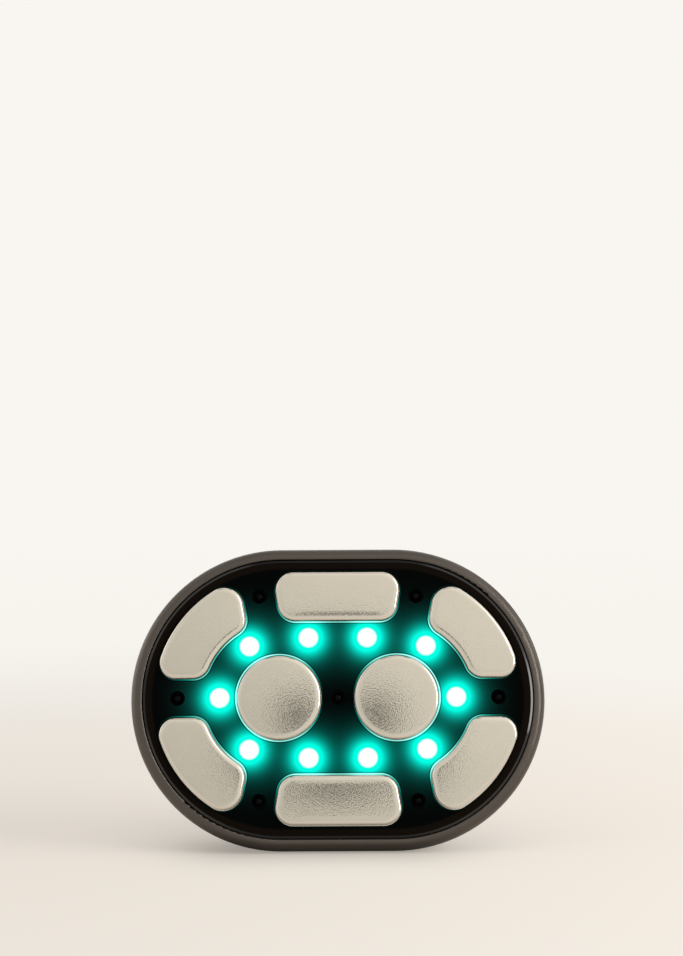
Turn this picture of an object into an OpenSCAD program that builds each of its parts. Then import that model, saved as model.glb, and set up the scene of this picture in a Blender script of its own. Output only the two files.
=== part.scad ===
// Palm-held body treatment device with a lit electrode face, standing on one
// long flank. Local frame: the face looks along +Z, its front surface is z = 0.

/* [Body] */
// Half of the straight run between the two round ends
half_straight = 16.3; // [12:0.1:22]
// Radius of the round ends at the widest line
girth_r = 43.7; // [42.5:0.1:48]
// Depth from the front of the faceplate to the back
body_depth = 51; // [49:0.5:60]
// Draft of the flanks, which is also how far the face leans back
flank_draft = 12; // [9:0.5:13]
// Wall of the rear housing
wall_t = 1.9; // [1.5:0.1:2.4]
// Radius of the rounding between flank and back
back_round_r = 12; // [9:0.5:14]
// Radius of the dome of the back
back_dome_r = 150; // [110:5:300]

/* [Rim] */
// Width of the rim between the faceplate gap and the widest line
rim_w = 3.4; // [3.3:0.05:4.2]
// Radius of the inner half of the rim bead
rim_bead_r = 0.6; // [0.4:0.05:1.8]
// Height of the bead above the faceplate, below zero where the plate stands out of it
rim_proud = -0.2; // [-0.4:0.1:1.2]
// Distance of the widest line behind the faceplate front
girth_back = 3.6; // [3:0.1:5]
// Radius of the outer side of the rim
rim_side_r = 12; // [10:0.5:16]
// Depth of the ledge that carries the electrode carrier
ledge_t = 1.9; // [1.2:0.1:2.2]
// Width of the ledge
ledge_w = 2.1; // [1.5:0.1:2.6]
// Width and height of the seal cord between rim and housing
seal_w = 0.8; // [0.6:0.1:1]
// Step of the groove along the seam between rim and housing
seam_groove = 0.25; // [0.1:0.05:0.4]

/* [Faceplate] */
// Thickness of the smoked plate
plate_t = 1.8; // [1.4:0.1:2.4]
// Gap between plate and rim
plate_gap = 0.45; // [0.2:0.05:0.5]
// Chamfer round the front edge of the plate
plate_chamfer = 0.45; // [0.3:0.05:0.9]
// Thickness of the bonding sheets behind the plate and the control panel
gasket_t = 0.2; // [0.15:0.05:0.4]
// Floor thickness of the electrode carrier
carrier_t = 3; // [2.8:0.1:3.8]
// Depth of the carrier at its rim
carrier_rim_t = 4.1; // [3.9:0.1:5]
// Width of the rim of the carrier
carrier_rim_w = 2.35; // [2:0.05:2.6]

/* [Electrodes] */
// Distance of each round electrode from the middle
round_x = 17; // [15:0.1:19]
// Radius of the round electrodes
round_r = 12.06; // [10:0.02:12.5]
// Clear distance from a round electrode to the middle of the lamps round it
lamp_gap = 5.14; // [4.6:0.02:5.6]
// Clear distance from those lamps to the corner electrodes
lamp_to_corner = 5.1; // [4.9:0.1:6.5]
// Clear distance from the middle lamps to the bar electrodes
lamp_to_bar = 5.05; // [4.6:0.05:6]
// Half spacing of the middle lamps along the body
lamp_mid_x = 8.5; // [7.6:0.1:9.5]
// Border between the edge of the plate and the outer electrodes
border_w = 2.9; // [2.8:0.05:4]
// Inner edge of the bar electrodes from the centre line
bar_in_y = 22.4; // [21.5:0.1:24]
// Distance of their outer edge inside the outer arc of the corner electrodes
bar_out_inset = 0.45; // [0.1:0.05:1]
// Half width of a bar electrode at its inner edge
bar_in_half = 16.45; // [14:0.05:17]
// Half width of a bar electrode at its outer edge
bar_out_half = 18.85; // [16:0.05:19.2]
// Flat side of the corner electrodes from the centre line
corner_side_y = 5.75; // [5.5:0.05:7.5]
// Slanted side of the corner electrodes, where it meets the centre line
corner_slant_x = 22.6; // [22:0.1:26]
// Slant of that side
corner_slant = 10.5; // [4:0.5:12]
// Corner rounding of the outer electrodes
electrode_corner_r = 5; // [2:0.1:5.4]
// Height of the electrodes above the plate
electrode_proud = 1.3; // [1.2:0.1:2]
// Edge rounding of the electrodes
electrode_edge = 1.1; // [0.4:0.1:1.1]
// Clearance between an electrode and its cut-out
electrode_clear = 0.15; // [0.1:0.05:0.25]
// Width of the flange behind the plate
flange_w = 0.9; // [0.7:0.1:1.1]
// Thickness of that flange
flange_t = 1.2; // [0.8:0.1:1.4]
// Radius of the contact stud on the back of an electrode
stud_r = 2.5; // [1.5:0.1:3]
// Free height of a leaf contact on the lamp board
leaf_h = 1.3; // [1:0.1:1.6]
// Length of a leaf contact
leaf_l = 3; // [2.4:0.1:4]
// Width of a leaf contact
leaf_w = 2; // [1.4:0.1:3]
// Thickness of the leaf
leaf_t = 0.3; // [0.2:0.05:0.4]
// Radius of the temperature sensors behind the round electrodes
sensor_r = 1.2; // [0.9:0.1:1.5]

/* [Lamps] */
// Radius of the frosted lamp lens
lens_r = 2.6; // [2:0.1:2.8]
// Width of the flange of the lens
lens_flange = 0.6; // [0.4:0.1:0.8]
// Thickness of that flange
lens_flange_t = 0.8; // [0.6:0.1:1]
// Side of a lamp chip
chip_w = 3.5; // [2.8:0.1:3.6]
// Height of a lamp chip
chip_h = 1.4; // [0.8:0.1:1.5]
// Radius of the infrared emitters
ir_r = 1.5; // [1.2:0.05:1.6]
// Width of the collar of an emitter
ir_collar = 0.4; // [0.3:0.05:0.5]
// Thickness of that collar
ir_collar_t = 1; // [0.8:0.1:1.2]
// Radius of the recess in the plate round each of them
ir_recess_r = 2.3; // [2:0.1:2.5]
// Depth of their domes below the plate front
ir_sink = 0.9; // [0.5:0.1:1.2]
// Distance of the end emitters from the edge of the plate
ir_end_inset = 9.65; // [9.3:0.05:10]
// Distance of the other emitters from the housing screws beside them
ir_to_screw = 4.7; // [4.2:0.1:5.4]
// Radius of the thin leads of emitters and sensors
lead_r = 0.25; // [0.2:0.05:0.3]
// Half spacing of a pair of leads
lead_dx = 0.6; // [0.5:0.05:0.8]

/* [Boards] */
// Distance from the carrier to the lamp board
lamp_board_gap = 2; // [1.8:0.1:2.4]
// Thickness of the lamp board
lamp_board_t = 1.2; // [0.8:0.1:1.6]
// Distance between the edge of the lamp board and the ledge
lamp_board_inset = 2.55; // [2:0.05:4]
// Distance of the middle lamp board posts from the centre line
carrier_post_y = 12; // [11.5:0.1:12.5]
// Share of the free depth that lies in front of the main board
front_share = 0.463; // [0.44:0.001:0.5]
// Thickness of the main board
main_board_t = 1.6; // [1.2:0.1:1.8]
// Radius of the round ends of the main board
main_board_r = 31.5; // [30.4:0.1:31.6]
// Distance along the body from the battery tray to the main board posts
main_post_gap = 2.5; // [1.5:0.1:3.5]
// Half spacing across the body of the main board posts
main_post_y = 20; // [19:0.1:21]
// Radius of the board posts
post_r = 2.4; // [2:0.1:2.6]

/* [Components] */
// Distance of the output transformer from the middle
transformer_x = 14; // [13:0.5:16]
// Length of the transformer
transformer_l = 22; // [18:0.5:24]
// Width of the transformer
transformer_w = 18; // [15:0.5:20]
// Width of the limbs of its core
limb_w = 5; // [4:0.1:5.5]
// Space between the transformer and the cell
transformer_clear = 1.5; // [0.5:0.1:2.5]
// Distance of the ring inductor from the middle, along the body
inductor_x = 14; // [12:0.5:18]
// Distance of the ring inductor from the middle, across the body
inductor_y = 8; // [5:0.5:12]
// Outer radius of the ring inductor
inductor_r = 7.4; // [6:0.1:8]
// Radius of its hole
inductor_hole_r = 3; // [2:0.1:3.5]
// Height of the ring inductor
inductor_h = 6.2; // [5:0.1:7]
// Distance of the filter capacitors from the middle
capacitor_x = 25; // [24:0.5:27]
// Spacing of the capacitors
capacitor_pitch = 12; // [9:0.5:13]
// Radius of the capacitors
capacitor_r = 4; // [3:0.1:4.2]
// Thickness of the square foot of a capacitor
capacitor_foot_t = 0.6; // [0.4:0.1:0.8]
// Space between the capacitors and the lamp board
capacitor_clear = 2.4; // [2.1:0.1:3]
// Distance of the output transistors from the middle, across the body
power_y = 19; // [18:0.5:21]
// Spacing of the transistors
transistor_pitch = 7; // [6.8:0.1:7.5]
// Side of a transistor
transistor_w = 6.2; // [5:0.1:6.5]
// Height of a transistor
transistor_h = 2.3; // [1.8:0.1:2.6]
// Length of the heat sink
sink_l = 28; // [26:0.5:30]
// Width of the heat sink
sink_w = 14; // [11:0.5:15]
// Thickness of its base
sink_base_t = 1.2; // [0.8:0.1:1.5]
// Thickness of a fin
fin_t = 0.8; // [0.6:0.1:1]
// Spacing of the fins
fin_pitch = 2.1; // [1.8:0.1:3]
// Space between the heat sink and the lamp board
sink_clear = 1.9; // [1.6:0.1:2.4]
// Distance of the controller chip from the middle, along the body
controller_x = 8; // [6:0.5:12]
// Distance of the controller chip from the middle, across the body
controller_y = 6; // [5:0.5:9]
// Side of the controller chip
controller_w = 9; // [7:0.5:10]
// Height of the controller chip
controller_h = 1; // [0.8:0.1:1.4]
// Distance of the sounder from the middle, along the body
buzzer_x = 8; // [6:0.5:12]
// Distance of the sounder from the middle, across the body
buzzer_y = 15; // [13:0.5:18]
// Radius of the sounder
buzzer_r = 4.5; // [4:0.1:5]
// Height of the sounder
buzzer_h = 2.6; // [2:0.1:3.5]
// Radius of the sound hole
buzzer_hole_r = 0.8; // [0.5:0.1:1.2]

/* [Cables inside] */
// Width of the ribbons
ribbon_w = 12; // [8:0.5:14]
// Thickness of the ribbons
ribbon_t = 0.3; // [0.2:0.05:0.4]
// Distance of the lamp board ribbon from the middle
ribbon_x = 27; // [26:0.5:28]
// Depth of a ribbon socket
connector_w = 4; // [3:0.1:5]
// Width of a ribbon socket beyond its ribbon, at each side
connector_side = 1; // [0.5:0.1:1.5]
// Height of a ribbon socket
connector_h = 2; // [1.5:0.1:2.1]
// Distance of the key ribbon from the battery tray
key_ribbon_gap = 2.3; // [1.5:0.1:3]
// Radius of the wires
wire_r = 0.7; // [0.4:0.05:0.8]
// Half spacing of the battery wires
battery_wire_y = 3; // [2:0.1:6]
// Half spacing of the motor wires
motor_wire_dx = 1.6; // [1:0.1:3]
// Half spacing of the charging wires
charge_wire_y = 2; // [1.2:0.1:3]

/* [Screws] */
// Shank radius of the housing screws
screw_r = 1.1; // [0.9:0.05:1.2]
// Head radius of the housing screws
screw_head_r = 2; // [1.6:0.05:2.1]
// Head height of the housing screws
screw_head_h = 1.5; // [1:0.1:1.6]
// Shank length of the housing screws
screw_l = 11; // [9:0.5:13]
// Radius of the screw bosses in the housing
boss_r = 2.8; // [2.4:0.1:2.9]
// Depth of the screw bosses
boss_depth = 16; // [14:0.5:18]
// Solid end of a boss behind its bore
boss_floor = 2; // [1:0.5:3]
// Distance of the webs behind the ledge of the bezel
web_drop = 1; // [0.6:0.1:2]
// Thickness of the webs that hold the bosses
web_t = 1.2; // [1:0.1:1.6]
// Distance of the end bosses from the edge of the plate
boss_end_inset = 3.55; // [3.4:0.05:3.8]
// Distance of the bosses along the flanks from the edge of the plate
boss_side_inset = 5.55; // [5.3:0.05:5.8]
// Shank radius of the board screws
small_screw_r = 1; // [0.8:0.05:1.1]
// Head radius of the board screws
small_head_r = 1.9; // [1.5:0.05:2]
// Head height of the board screws
small_head_h = 1.2; // [0.8:0.1:1.3]
// Shank length of the board screws
small_screw_l = 4; // [3.4:0.1:4]
// Depth of the sockets in the screw heads
drive_depth = 0.5; // [0.3:0.1:0.7]

/* [Battery] */
// Length of the cell
cell_l = 56; // [50:0.5:57]
// Width of the cell
cell_w = 36; // [30:0.5:37]
// Thickness of the cell
cell_t = 9; // [7:0.1:9.4]
// Bevel along the edges of the cell
cell_bevel = 1; // [0.5:0.1:1.5]
// Clearance between the cell and the wall of its tray
tray_clear = 0.4; // [0.3:0.1:0.8]
// Foam tape under the cell
tape_t = 0.5; // [0.3:0.1:0.8]
// Margin between the edge of the cell and the tape
tape_inset = 4; // [2:0.5:8]
// Wall and floor of the battery tray
tray_t = 1.2; // [1:0.1:1.4]
// Height of the tray wall above its floor
tray_wall_h = 4; // [3:0.1:5]
// Distance of the tray screws from the tray wall
tray_post_gap = 3.4; // [3:0.1:3.6]
// Width of the ears of the tray
tray_ear_w = 7; // [6:0.1:7.4]
// Distance from the key board to the tray
key_board_gap = 4.7; // [3.6:0.1:5.4]
// Thickness of the ribs in the housing
rib_t = 1.6; // [1.2:0.1:2]

/* [Vibration motor] */
// Distance of the boot of the motor from the flank
motor_wall_gap = 3.1; // [2.8:0.1:3.6]
// Height of the boot above the foot of the battery tray
motor_lift = 1.5; // [1.2:0.1:2.5]
// Radius of the motor can
motor_r = 5; // [4.4:0.1:5.2]
// Length of the motor can
motor_l = 14; // [12:0.5:14]
// Distance of the end of the can from the middle, across the body
motor_end_y = 9; // [8:0.5:10]
// Wall of the motor can
can_t = 0.7; // [0.5:0.1:0.9]
// Clearance round the armature
armature_gap = 0.5; // [0.3:0.05:0.6]
// Radius of the motor shaft
shaft_r = 0.75; // [0.6:0.05:1]
// Radius of the eccentric weight
weight_r = 4.6; // [4:0.1:5]
// Distance from the can to the eccentric weight
weight_gap = 1; // [0.6:0.1:1.4]
// Length of the eccentric weight
weight_l = 6; // [4.5:0.5:6.5]
// Wall of the hub of the weight
hub_t = 0.8; // [0.5:0.1:1.2]
// Distance of the ends of the boot from the ends of the can
boot_inset = 1; // [0.5:0.1:2]
// Width of the cradle ribs beyond the boot
cradle_lip = 1; // [0.6:0.1:1.5]
// Wall of the rubber boot round the motor
boot_t = 1.2; // [0.8:0.1:1.3]

/* [Charging socket] */
// Width of the socket shell
socket_w = 8.94; // [8.8:0.02:9.2]
// Height of the socket shell
socket_h = 3.2; // [3:0.05:3.4]
// Length of the socket shell
socket_l = 7.35; // [7:0.05:7.6]
// Wall of the socket shell
socket_wall = 0.3; // [0.2:0.05:0.4]
// Wall behind the socket shell
socket_back_wall = 0.8; // [0.6:0.1:1]
// Width of the tongue
tongue_w = 6.7; // [6.2:0.05:6.8]
// Thickness of the tongue
tongue_t = 0.7; // [0.6:0.05:0.8]
// Depth of the socket axis behind the faceplate front
socket_back = 30.4; // [29:0.1:31]
// Distance of the mouth of the socket behind the flank
socket_inset = 0.7; // [0.5:0.05:0.9]
// Distance of the mouth of the socket beyond its board
socket_overhang = 3.6; // [3:0.1:4]
// Length of the charging board
charge_l = 12.9; // [12:0.1:14]
// Width of the charging board
charge_w = 16; // [15:0.5:18]
// Thickness of the charging board
charge_t = 1; // [0.8:0.1:1.2]
// Distance of its screws from its inner end
charge_post_inset = 3.4; // [3:0.1:3.6]

/* [Controls] */
// Half of the straight run of the control panel
panel_half = 17; // [16:0.1:19]
// Radius of the round ends of the control panel
panel_r = 12; // [11.4:0.1:13]
// Thickness of the control panel
panel_t = 1.2; // [1:0.1:1.6]
// Depth of the panel face below the top of the dome
panel_sink = 0.4; // [0.2:0.1:0.8]
// Chamfer round the panel
panel_chamfer = 0.3; // [0.2:0.05:0.5]
// Gap round the panel in its recess
panel_gap = 0.15; // [0.1:0.05:0.3]
// Spacing of the keys
key_pitch = 14; // [13.2:0.1:14.5]
// Radius of the keys
key_r = 4.8; // [4:0.1:5]
// Height of the keys above the panel
key_proud = 0.8; // [0.6:0.1:1.4]
// Chamfer round the keys
key_chamfer = 0.5; // [0.3:0.1:0.6]
// Travel of the keys
key_travel = 0.5; // [0.3:0.05:0.6]
// Clearance round the keys
key_clear = 0.12; // [0.1:0.01:0.2]
// Width of the key flange
key_flange = 1; // [0.7:0.1:1]
// Thickness of the key flange
key_flange_t = 1; // [0.8:0.1:1.2]
// Radius of the plunger under a key
plunger_r = 1.5; // [1.2:0.1:2]
// Length of the sunk bars on the keys
mark_l = 3.6; // [2.4:0.1:5]
// Width of the sunk lines on the keys
mark_w = 0.7; // [0.4:0.05:0.9]
// Radius of the sunk ring on the power key
mark_ring_r = 2.1; // [1.5:0.1:3]
// Radius of the sunk dot on the mode key
mark_dot_r = 0.9; // [0.6:0.1:1.5]
// Depth of the marks
mark_depth = 0.2; // [0.1:0.05:0.3]
// Side of a key switch
switch_w = 4.5; // [4:0.1:5]
// Height of a key switch body
switch_h = 2.2; // [2:0.1:2.6]
// Radius of a switch stem
stem_r = 1.3; // [1:0.05:1.5]
// Height of a switch stem above its switch
stem_proud = 0.8; // [0.7:0.05:1]
// Length of the stem inside its switch
stem_depth = 0.9; // [0.6:0.1:1]
// Height of the posts that carry the key board
key_post_h = 3.4; // [3.3:0.1:4]
// Distance of those posts from the row of keys
key_post_y = 6.8; // [6.6:0.1:7.4]
// Thickness of the key board
key_board_t = 1; // [0.8:0.1:1.2]
// Length of the key board beyond the outer keys
key_board_end = 6; // [5:0.1:7]
// Width of the key board
key_board_w = 20; // [19:0.5:21]
// Length of the indicator window
window_l = 16; // [14.6:0.1:18]
// Width of the indicator window
window_w = 2; // [1.6:0.1:2.2]
// Distance of the window from the row of keys
window_y = 8.8; // [8.6:0.1:9.2]
// Clearance round the window
window_clear = 0.1; // [0.1:0.05:0.2]
// Spacing of the indicator lamps
indicator_pitch = 3; // [2.4:0.1:3.2]
// Length of an indicator lamp
indicator_l = 1.6; // [1.2:0.1:2]
// Width of an indicator lamp
indicator_w = 0.8; // [0.6:0.1:1.2]
// Height of an indicator lamp
indicator_h = 0.7; // [0.5:0.1:0.8]

/* [Hidden] */
ELECTRODES = [
    "electrode_round_left", "electrode_round_right", "electrode_bar_top", "electrode_bar_bottom",
    "electrode_corner_top_left", "electrode_corner_top_right",
    "electrode_corner_bottom_left", "electrode_corner_bottom_right"
];
KEYS = ["minus", "power", "mode", "plus"];
$fn = 96;

// Segments per turn on the corners of the outer electrodes, and on the wide dome
OUTLINE_FN = 40;
DOME_FN = 400;

// Gaps, fits and the length by which a cut reaches past a face
seat_clear = 0.1;
running_clear = 0.05;
bond_clear = 0.01;
bore_clear = 0.2;
part_gap = 0.3;
over = 1;
eps = 0.01;
beyond = 2 * body_depth;

// Colours
GLOSS_BLACK = "#141312";
SATIN_BLACK = "#1c1b1a";
SMOKED = "#0b1416";
SILVER = "#c8bfae";
TEAL = "#5cffe6";
BOARD_GREEN = "#1f4a33";
STEEL = "#9a9ca0";
COPPER = "#b4703c";
RUBBER = "#26262a";
FERRITE = "#34343a";
FOIL = "#b9bcc0";
WHITE = "#e8e8e4";
FLEX = "#b06a20";
WIRE_RED = "#b03028";
DARK_LENS = "#3a2f44";
TUNGSTEN = "#7d7568";

// Rim
rim_in_r = girth_r - rim_w;
side_r0 = girth_r - rim_side_r;
bead_x = rim_in_r + rim_bead_r;
crest_dx = bead_x - side_r0;
crest_dz = rim_proud + girth_back;
outer_bead_r = (rim_side_r ^ 2 - crest_dx ^ 2 - crest_dz ^ 2) / (2 * (rim_side_r - crest_dz));
seam_r = side_r0 + rim_side_r * cos(flank_draft);
seam_z = -girth_back - rim_side_r * sin(flank_draft);
seal_mid = seam_r - wall_t / 2 - seat_clear;

// Face stack, from the front to the lamp board
plate_r = rim_in_r - plate_gap;
plate_back = -plate_t;
carrier_front = plate_back - gasket_t;
carrier_back = carrier_front - carrier_t;
ledge_z = carrier_front - carrier_rim_t;
ledge_in_r = rim_in_r - ledge_w;
flange_back = carrier_front - flange_t;
lamp_board_front = carrier_back - lamp_board_gap;
lamp_board_back = lamp_board_front - lamp_board_t;
lamp_board_r = ledge_in_r - lamp_board_inset;
contact_top = lamp_board_front + leaf_h;

// Controls, from the outside to the inside
panel_face = -body_depth + panel_sink;
panel_inner = panel_face + panel_t;
recess_floor = panel_inner + gasket_t;
pad_top = recess_floor + wall_t;
key_face = panel_face - key_proud;
key_flange_z = panel_inner + seat_clear;
key_board_back = pad_top + key_post_h;
key_board_front = key_board_back + key_board_t;
switch_back = key_board_back - switch_h;
stem_end = switch_back - stem_proud;
key_hole_r = key_r + key_flange + part_gap;
key_points = [for (i = [0:3]) [(i - 1.5) * key_pitch, 0]];
key_posts = [for (side = [-1, 1], row = [-1, 1]) [side * key_pitch, row * key_post_y]];
key_board_l = 3 * key_pitch + 2 * key_board_end;

// Inner stack, from the key board forwards
tray_back = key_board_front + key_board_gap;
tray_top = tray_back + tray_t;
cell_back = tray_top + tape_t;
cell_front = cell_back + cell_t;
free_depth = lamp_board_back - cell_front - main_board_t;
board_gap = front_share * free_depth;
component_h = free_depth - board_gap;
main_front = lamp_board_back - board_gap;
main_back = main_front - main_board_t;
transformer_h = component_h - transformer_clear;
capacitor_h = board_gap - capacitor_clear;
sink_h = board_gap - transistor_h - sink_clear;

// Flank and back
outward = [cos(flank_draft), -sin(flank_draft)];
backward = [-sin(flank_draft), -cos(flank_draft)];
dome_mid = [0, back_dome_r - body_depth];
to_dome = [seam_r, seam_z] - back_round_r * outward - dome_mid;
along = to_dome * backward;
flank_run = -along + sqrt(along ^ 2 - to_dome * to_dome + (back_dome_r - back_round_r) ^ 2);
round_mid = [seam_r, seam_z] - back_round_r * outward + flank_run * backward;
dome_dir = (round_mid - dome_mid) / norm(round_mid - dome_mid);

// Radius of the flank at a height, moved inwards by an inset
function flank_r(z, inset) = seam_r + (z - seam_z) * tan(flank_draft) - inset / cos(flank_draft);

// Distance of a point in plan from the straight spine of the body
function spine_distance(p) = norm([max(abs(p[0]) - half_straight, 0), p[1]]);

// Height of the back at a distance from the spine, moved inwards by an inset
function back_z(d, inset) = d < round_mid[0] + (back_round_r - inset) * dome_dir[0]
    ? dome_mid[1] - sqrt((back_dome_r - inset) ^ 2 - d ^ 2)
    : round_mid[1] - sqrt(max((back_round_r - inset) ^ 2 - (d - round_mid[0]) ^ 2, 0));

// Height at which a post of a radius ends inside the wall of the back
function foot_z(p, r) = back_z(spine_distance(p) + r, seat_clear);

// Electrode layout
lamp_ring_r = round_r + lamp_gap;
corner_in_r = lamp_ring_r + lamp_to_corner;
outer_edge_r = plate_r - border_w;
bar_out_y = outer_edge_r - bar_out_inset;
bar_mid_y = (bar_in_y + bar_out_y) / 2;
corner_mid_r = (outer_edge_r + corner_in_r + round_x - half_straight) / 2;
CORNER_MID_ANGLE = 36;
corner_mid = [half_straight + corner_mid_r * cos(CORNER_MID_ANGLE), corner_mid_r * sin(CORNER_MID_ANGLE)];
LAMP_RING_ANGLES = [-60, 0, 60];
lamp_points = concat(
    [for (side = [-1, 1], a = LAMP_RING_ANGLES)
        [side * (round_x + lamp_ring_r * cos(a)), lamp_ring_r * sin(a)]],
    [for (side = [-1, 1], row = [-1, 1]) [side * lamp_mid_x, row * (bar_in_y - lamp_to_bar)]]
);
stud_points = concat(
    [for (side = [-1, 1]) [side * round_x, 0], for (row = [-1, 1]) [0, row * bar_mid_y]],
    [for (side = [-1, 1], row = [-1, 1]) [side * corner_mid[0], row * corner_mid[1]]]
);
SENSOR_SHARE = 0.6;
sensor_points = [for (side = [-1, 1]) [side * round_x, SENSOR_SHARE * round_r]];

// Housing screws and emitters, between the bars and the corner electrodes
boss_side_y = plate_r - boss_side_inset;
ir_side_y = boss_side_y - ir_to_screw;
slant_mid_x = corner_slant_x + ir_side_y * tan(corner_slant);
screw_x = ((bar_in_half + bar_out_half) / 2 + slant_mid_x) / 2;
ir_end_x = half_straight + plate_r - ir_end_inset;
ir_points = concat(
    [[0, 0], [-ir_end_x, 0], [ir_end_x, 0]],
    [for (side = [-1, 1], row = [-1, 1]) [side * screw_x, row * ir_side_y]]
);
boss_end_x = half_straight + plate_r - boss_end_inset;
boss_points = concat(
    [for (side = [-1, 1]) [side * boss_end_x, 0]],
    [for (side = [-1, 1], row = [-1, 1]) [side * screw_x, row * boss_side_y]]
);
screw_seat = carrier_front - screw_head_h - part_gap;

// Posts of the lamp board
lamp_end_x = round_x + lamp_ring_r;
carrier_post_x = (lamp_end_x + lens_r + ir_end_x - ir_r) / 2;
carrier_posts = [[0, -carrier_post_y], [0, carrier_post_y], [-carrier_post_x, 0], [carrier_post_x, 0]];

// Battery tray, its screws, and the main board posts beside it
tray_x = cell_l / 2 + tray_t + tray_clear;
tray_y = cell_w / 2 + tray_t + tray_clear;
tray_post_x = tray_x + tray_post_gap;
tray_posts = [[-tray_post_x, 0], [tray_post_x, 0]];
tray_ear_end = tray_post_x + small_head_r + 2 * tray_clear;
RAIL_X = [10, 26];
rail_y = cell_w / 2 - 3;
main_post_x = tray_x + main_post_gap + post_r;
main_posts = [for (side = [-1, 1], row = [-1, 1]) [side * main_post_x, row * main_post_y]];
key_ribbon_y = tray_y + key_ribbon_gap;

// Motor, lying across the body with its shaft along Y
motor_z = tray_back + motor_lift + motor_r + boot_t;
motor_x = half_straight + flank_r(motor_z, wall_t) - motor_wall_gap - motor_r - boot_t;
motor_y0 = -motor_end_y;
motor_y1 = motor_y0 + motor_l;
weight_y0 = motor_y1 + weight_gap;
shaft_end = weight_y0 + weight_l + part_gap;
armature_y0 = motor_y0 + can_t + armature_gap;
CRADLE_Y = [-6, 2];

// Charging socket
socket_z = -socket_back;
socket_tip_x = half_straight + flank_r(socket_z, 0) - socket_inset;
socket_x0 = socket_tip_x - socket_l;
charge_top = socket_z - socket_h / 2;
charge_x1 = socket_tip_x - socket_overhang;
charge_x0 = charge_x1 - charge_l;
charge_post_y = charge_w / 2 - small_head_r - seat_clear;
charge_posts = [for (row = [-1, 1]) [charge_x0 + charge_post_inset, row * charge_post_y]];

// Resting place: the lower flank lies on z = 0, the middle of its flat at the origin
rest_z = seam_r * cos(flank_draft) - seam_z * sin(flank_draft);
flat_start = -seam_r * sin(flank_draft) - seam_z * cos(flank_draft);
rest_y = -flat_start - flank_run / 2;

// Stands the local frame up on the lower flank
module place() {
    translate([0, rest_y, rest_z]) rotate([90 - flank_draft, 0, 0]) children();
}

// Sweeps a profile, drawn as radius and height, round a racetrack
module racetrack(half_run) {
    for (side = [0, 1])
        mirror([side, 0, 0]) translate([half_run, 0, 0]) rotate([0, 0, -90])
            rotate_extrude(angle = 180) children();
    for (side = [0, 1])
        mirror([0, side, 0]) translate([-half_run, 0, 0]) rotate([90, 0, 90])
            linear_extrude(2 * half_run) children();
}

// Flat racetrack outline
module racetrack_outline(half_run, r) {
    square([2 * half_run, 2 * r], center = true);
    for (side = [-1, 1]) translate([side * half_run, 0]) circle(r);
}

// Plate of that outline between two heights
module racetrack_plate(half_run, r, z0, z1) {
    translate([0, 0, z0]) linear_extrude(z1 - z0) racetrack_outline(half_run, r);
}

// Racetrack bar of a full length and width beside the row of keys, between two heights
module window_bar(l, w, z0, z1) {
    translate([0, window_y, 0]) racetrack_plate((l - w) / 2, w / 2, z0, z1);
}

// Cylinder between two heights at each of a list of points
module pegs(points, r, z0, z1) {
    for (p = points) translate([p[0], p[1], z0]) cylinder(r = r, h = z1 - z0);
}

// Box centred on a point in plan, between two heights
module block(mid, size, z0, z1) {
    translate([mid[0] - size[0] / 2, mid[1] - size[1] / 2, z0]) cube([size[0], size[1], z1 - z0]);
}

// Pair of points on both sides of each of a list of points
function lead_pairs(points) = [for (p = points, dx = [-lead_dx, lead_dx]) p + [dx, 0]];

// Outline of the upper bar electrode
module bar_outline() {
    offset(r = electrode_corner_r, $fn = OUTLINE_FN) offset(delta = -electrode_corner_r)
        polygon([
            [-bar_in_half, bar_in_y], [bar_in_half, bar_in_y],
            [bar_out_half, bar_out_y], [-bar_out_half, bar_out_y]
        ]);
}

// Outline of the corner electrode at the upper right
module corner_outline() {
    reach = half_straight + girth_r;
    $fn = 2 * OUTLINE_FN;
    offset(r = electrode_corner_r, $fn = OUTLINE_FN) offset(delta = -electrode_corner_r) difference() {
        intersection() {
            translate([half_straight, 0]) circle(outer_edge_r);
            polygon([
                [corner_slant_x + corner_side_y * tan(corner_slant), corner_side_y],
                [reach, corner_side_y],
                [reach, reach],
                [corner_slant_x + reach * tan(corner_slant), reach]
            ]);
        }
        translate([round_x, 0]) circle(corner_in_r);
    }
}

// Outline of electrode number i, grown by a margin
module electrode_outline(i, margin) {
    side = i % 2 == 0 ? -1 : 1;
    if (i < 2) translate([side * round_x, 0]) circle(round_r + margin);
    else offset(delta = margin) {
        if (i < 4) mirror([0, i - 2, 0]) bar_outline();
        else scale([side, i < 6 ? 1 : -1]) corner_outline();
    }
}

// Stud position of electrode number i
function electrode_stud(i) =
    let (side = i % 2 == 0 ? -1 : 1)
    i < 2 ? [side * round_x, 0]
    : i < 4 ? [0, (i == 2 ? 1 : -1) * bar_mid_y]
    : [side * corner_mid[0], (i < 6 ? 1 : -1) * corner_mid[1]];

// Electrode cap with a rounded edge, a flange behind the plate and a contact stud
module electrode(i) {
    color(SILVER) {
        if (i < 2) translate([electrode_stud(i)[0], 0, 0]) round_electrode_cap();
        else shaped_electrode_cap(i);
        pegs([electrode_stud(i)], stud_r, contact_top, flange_back + 2 * eps);
    }
}

// Cap of a round electrode
module round_electrode_cap() {
    edge_mid = [round_r - electrode_edge, electrode_proud - electrode_edge];
    rotate_extrude() {
        translate([0, flange_back]) square([round_r + flange_w, flange_t]);
        translate([0, flange_back]) square([round_r, edge_mid[1] - flange_back]);
        translate([0, flange_back]) square([edge_mid[0], electrode_proud - flange_back]);
        intersection() {
            translate(edge_mid) circle(electrode_edge);
            translate(edge_mid - [eps, eps]) square(2 * electrode_edge);
        }
    }
}

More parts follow.
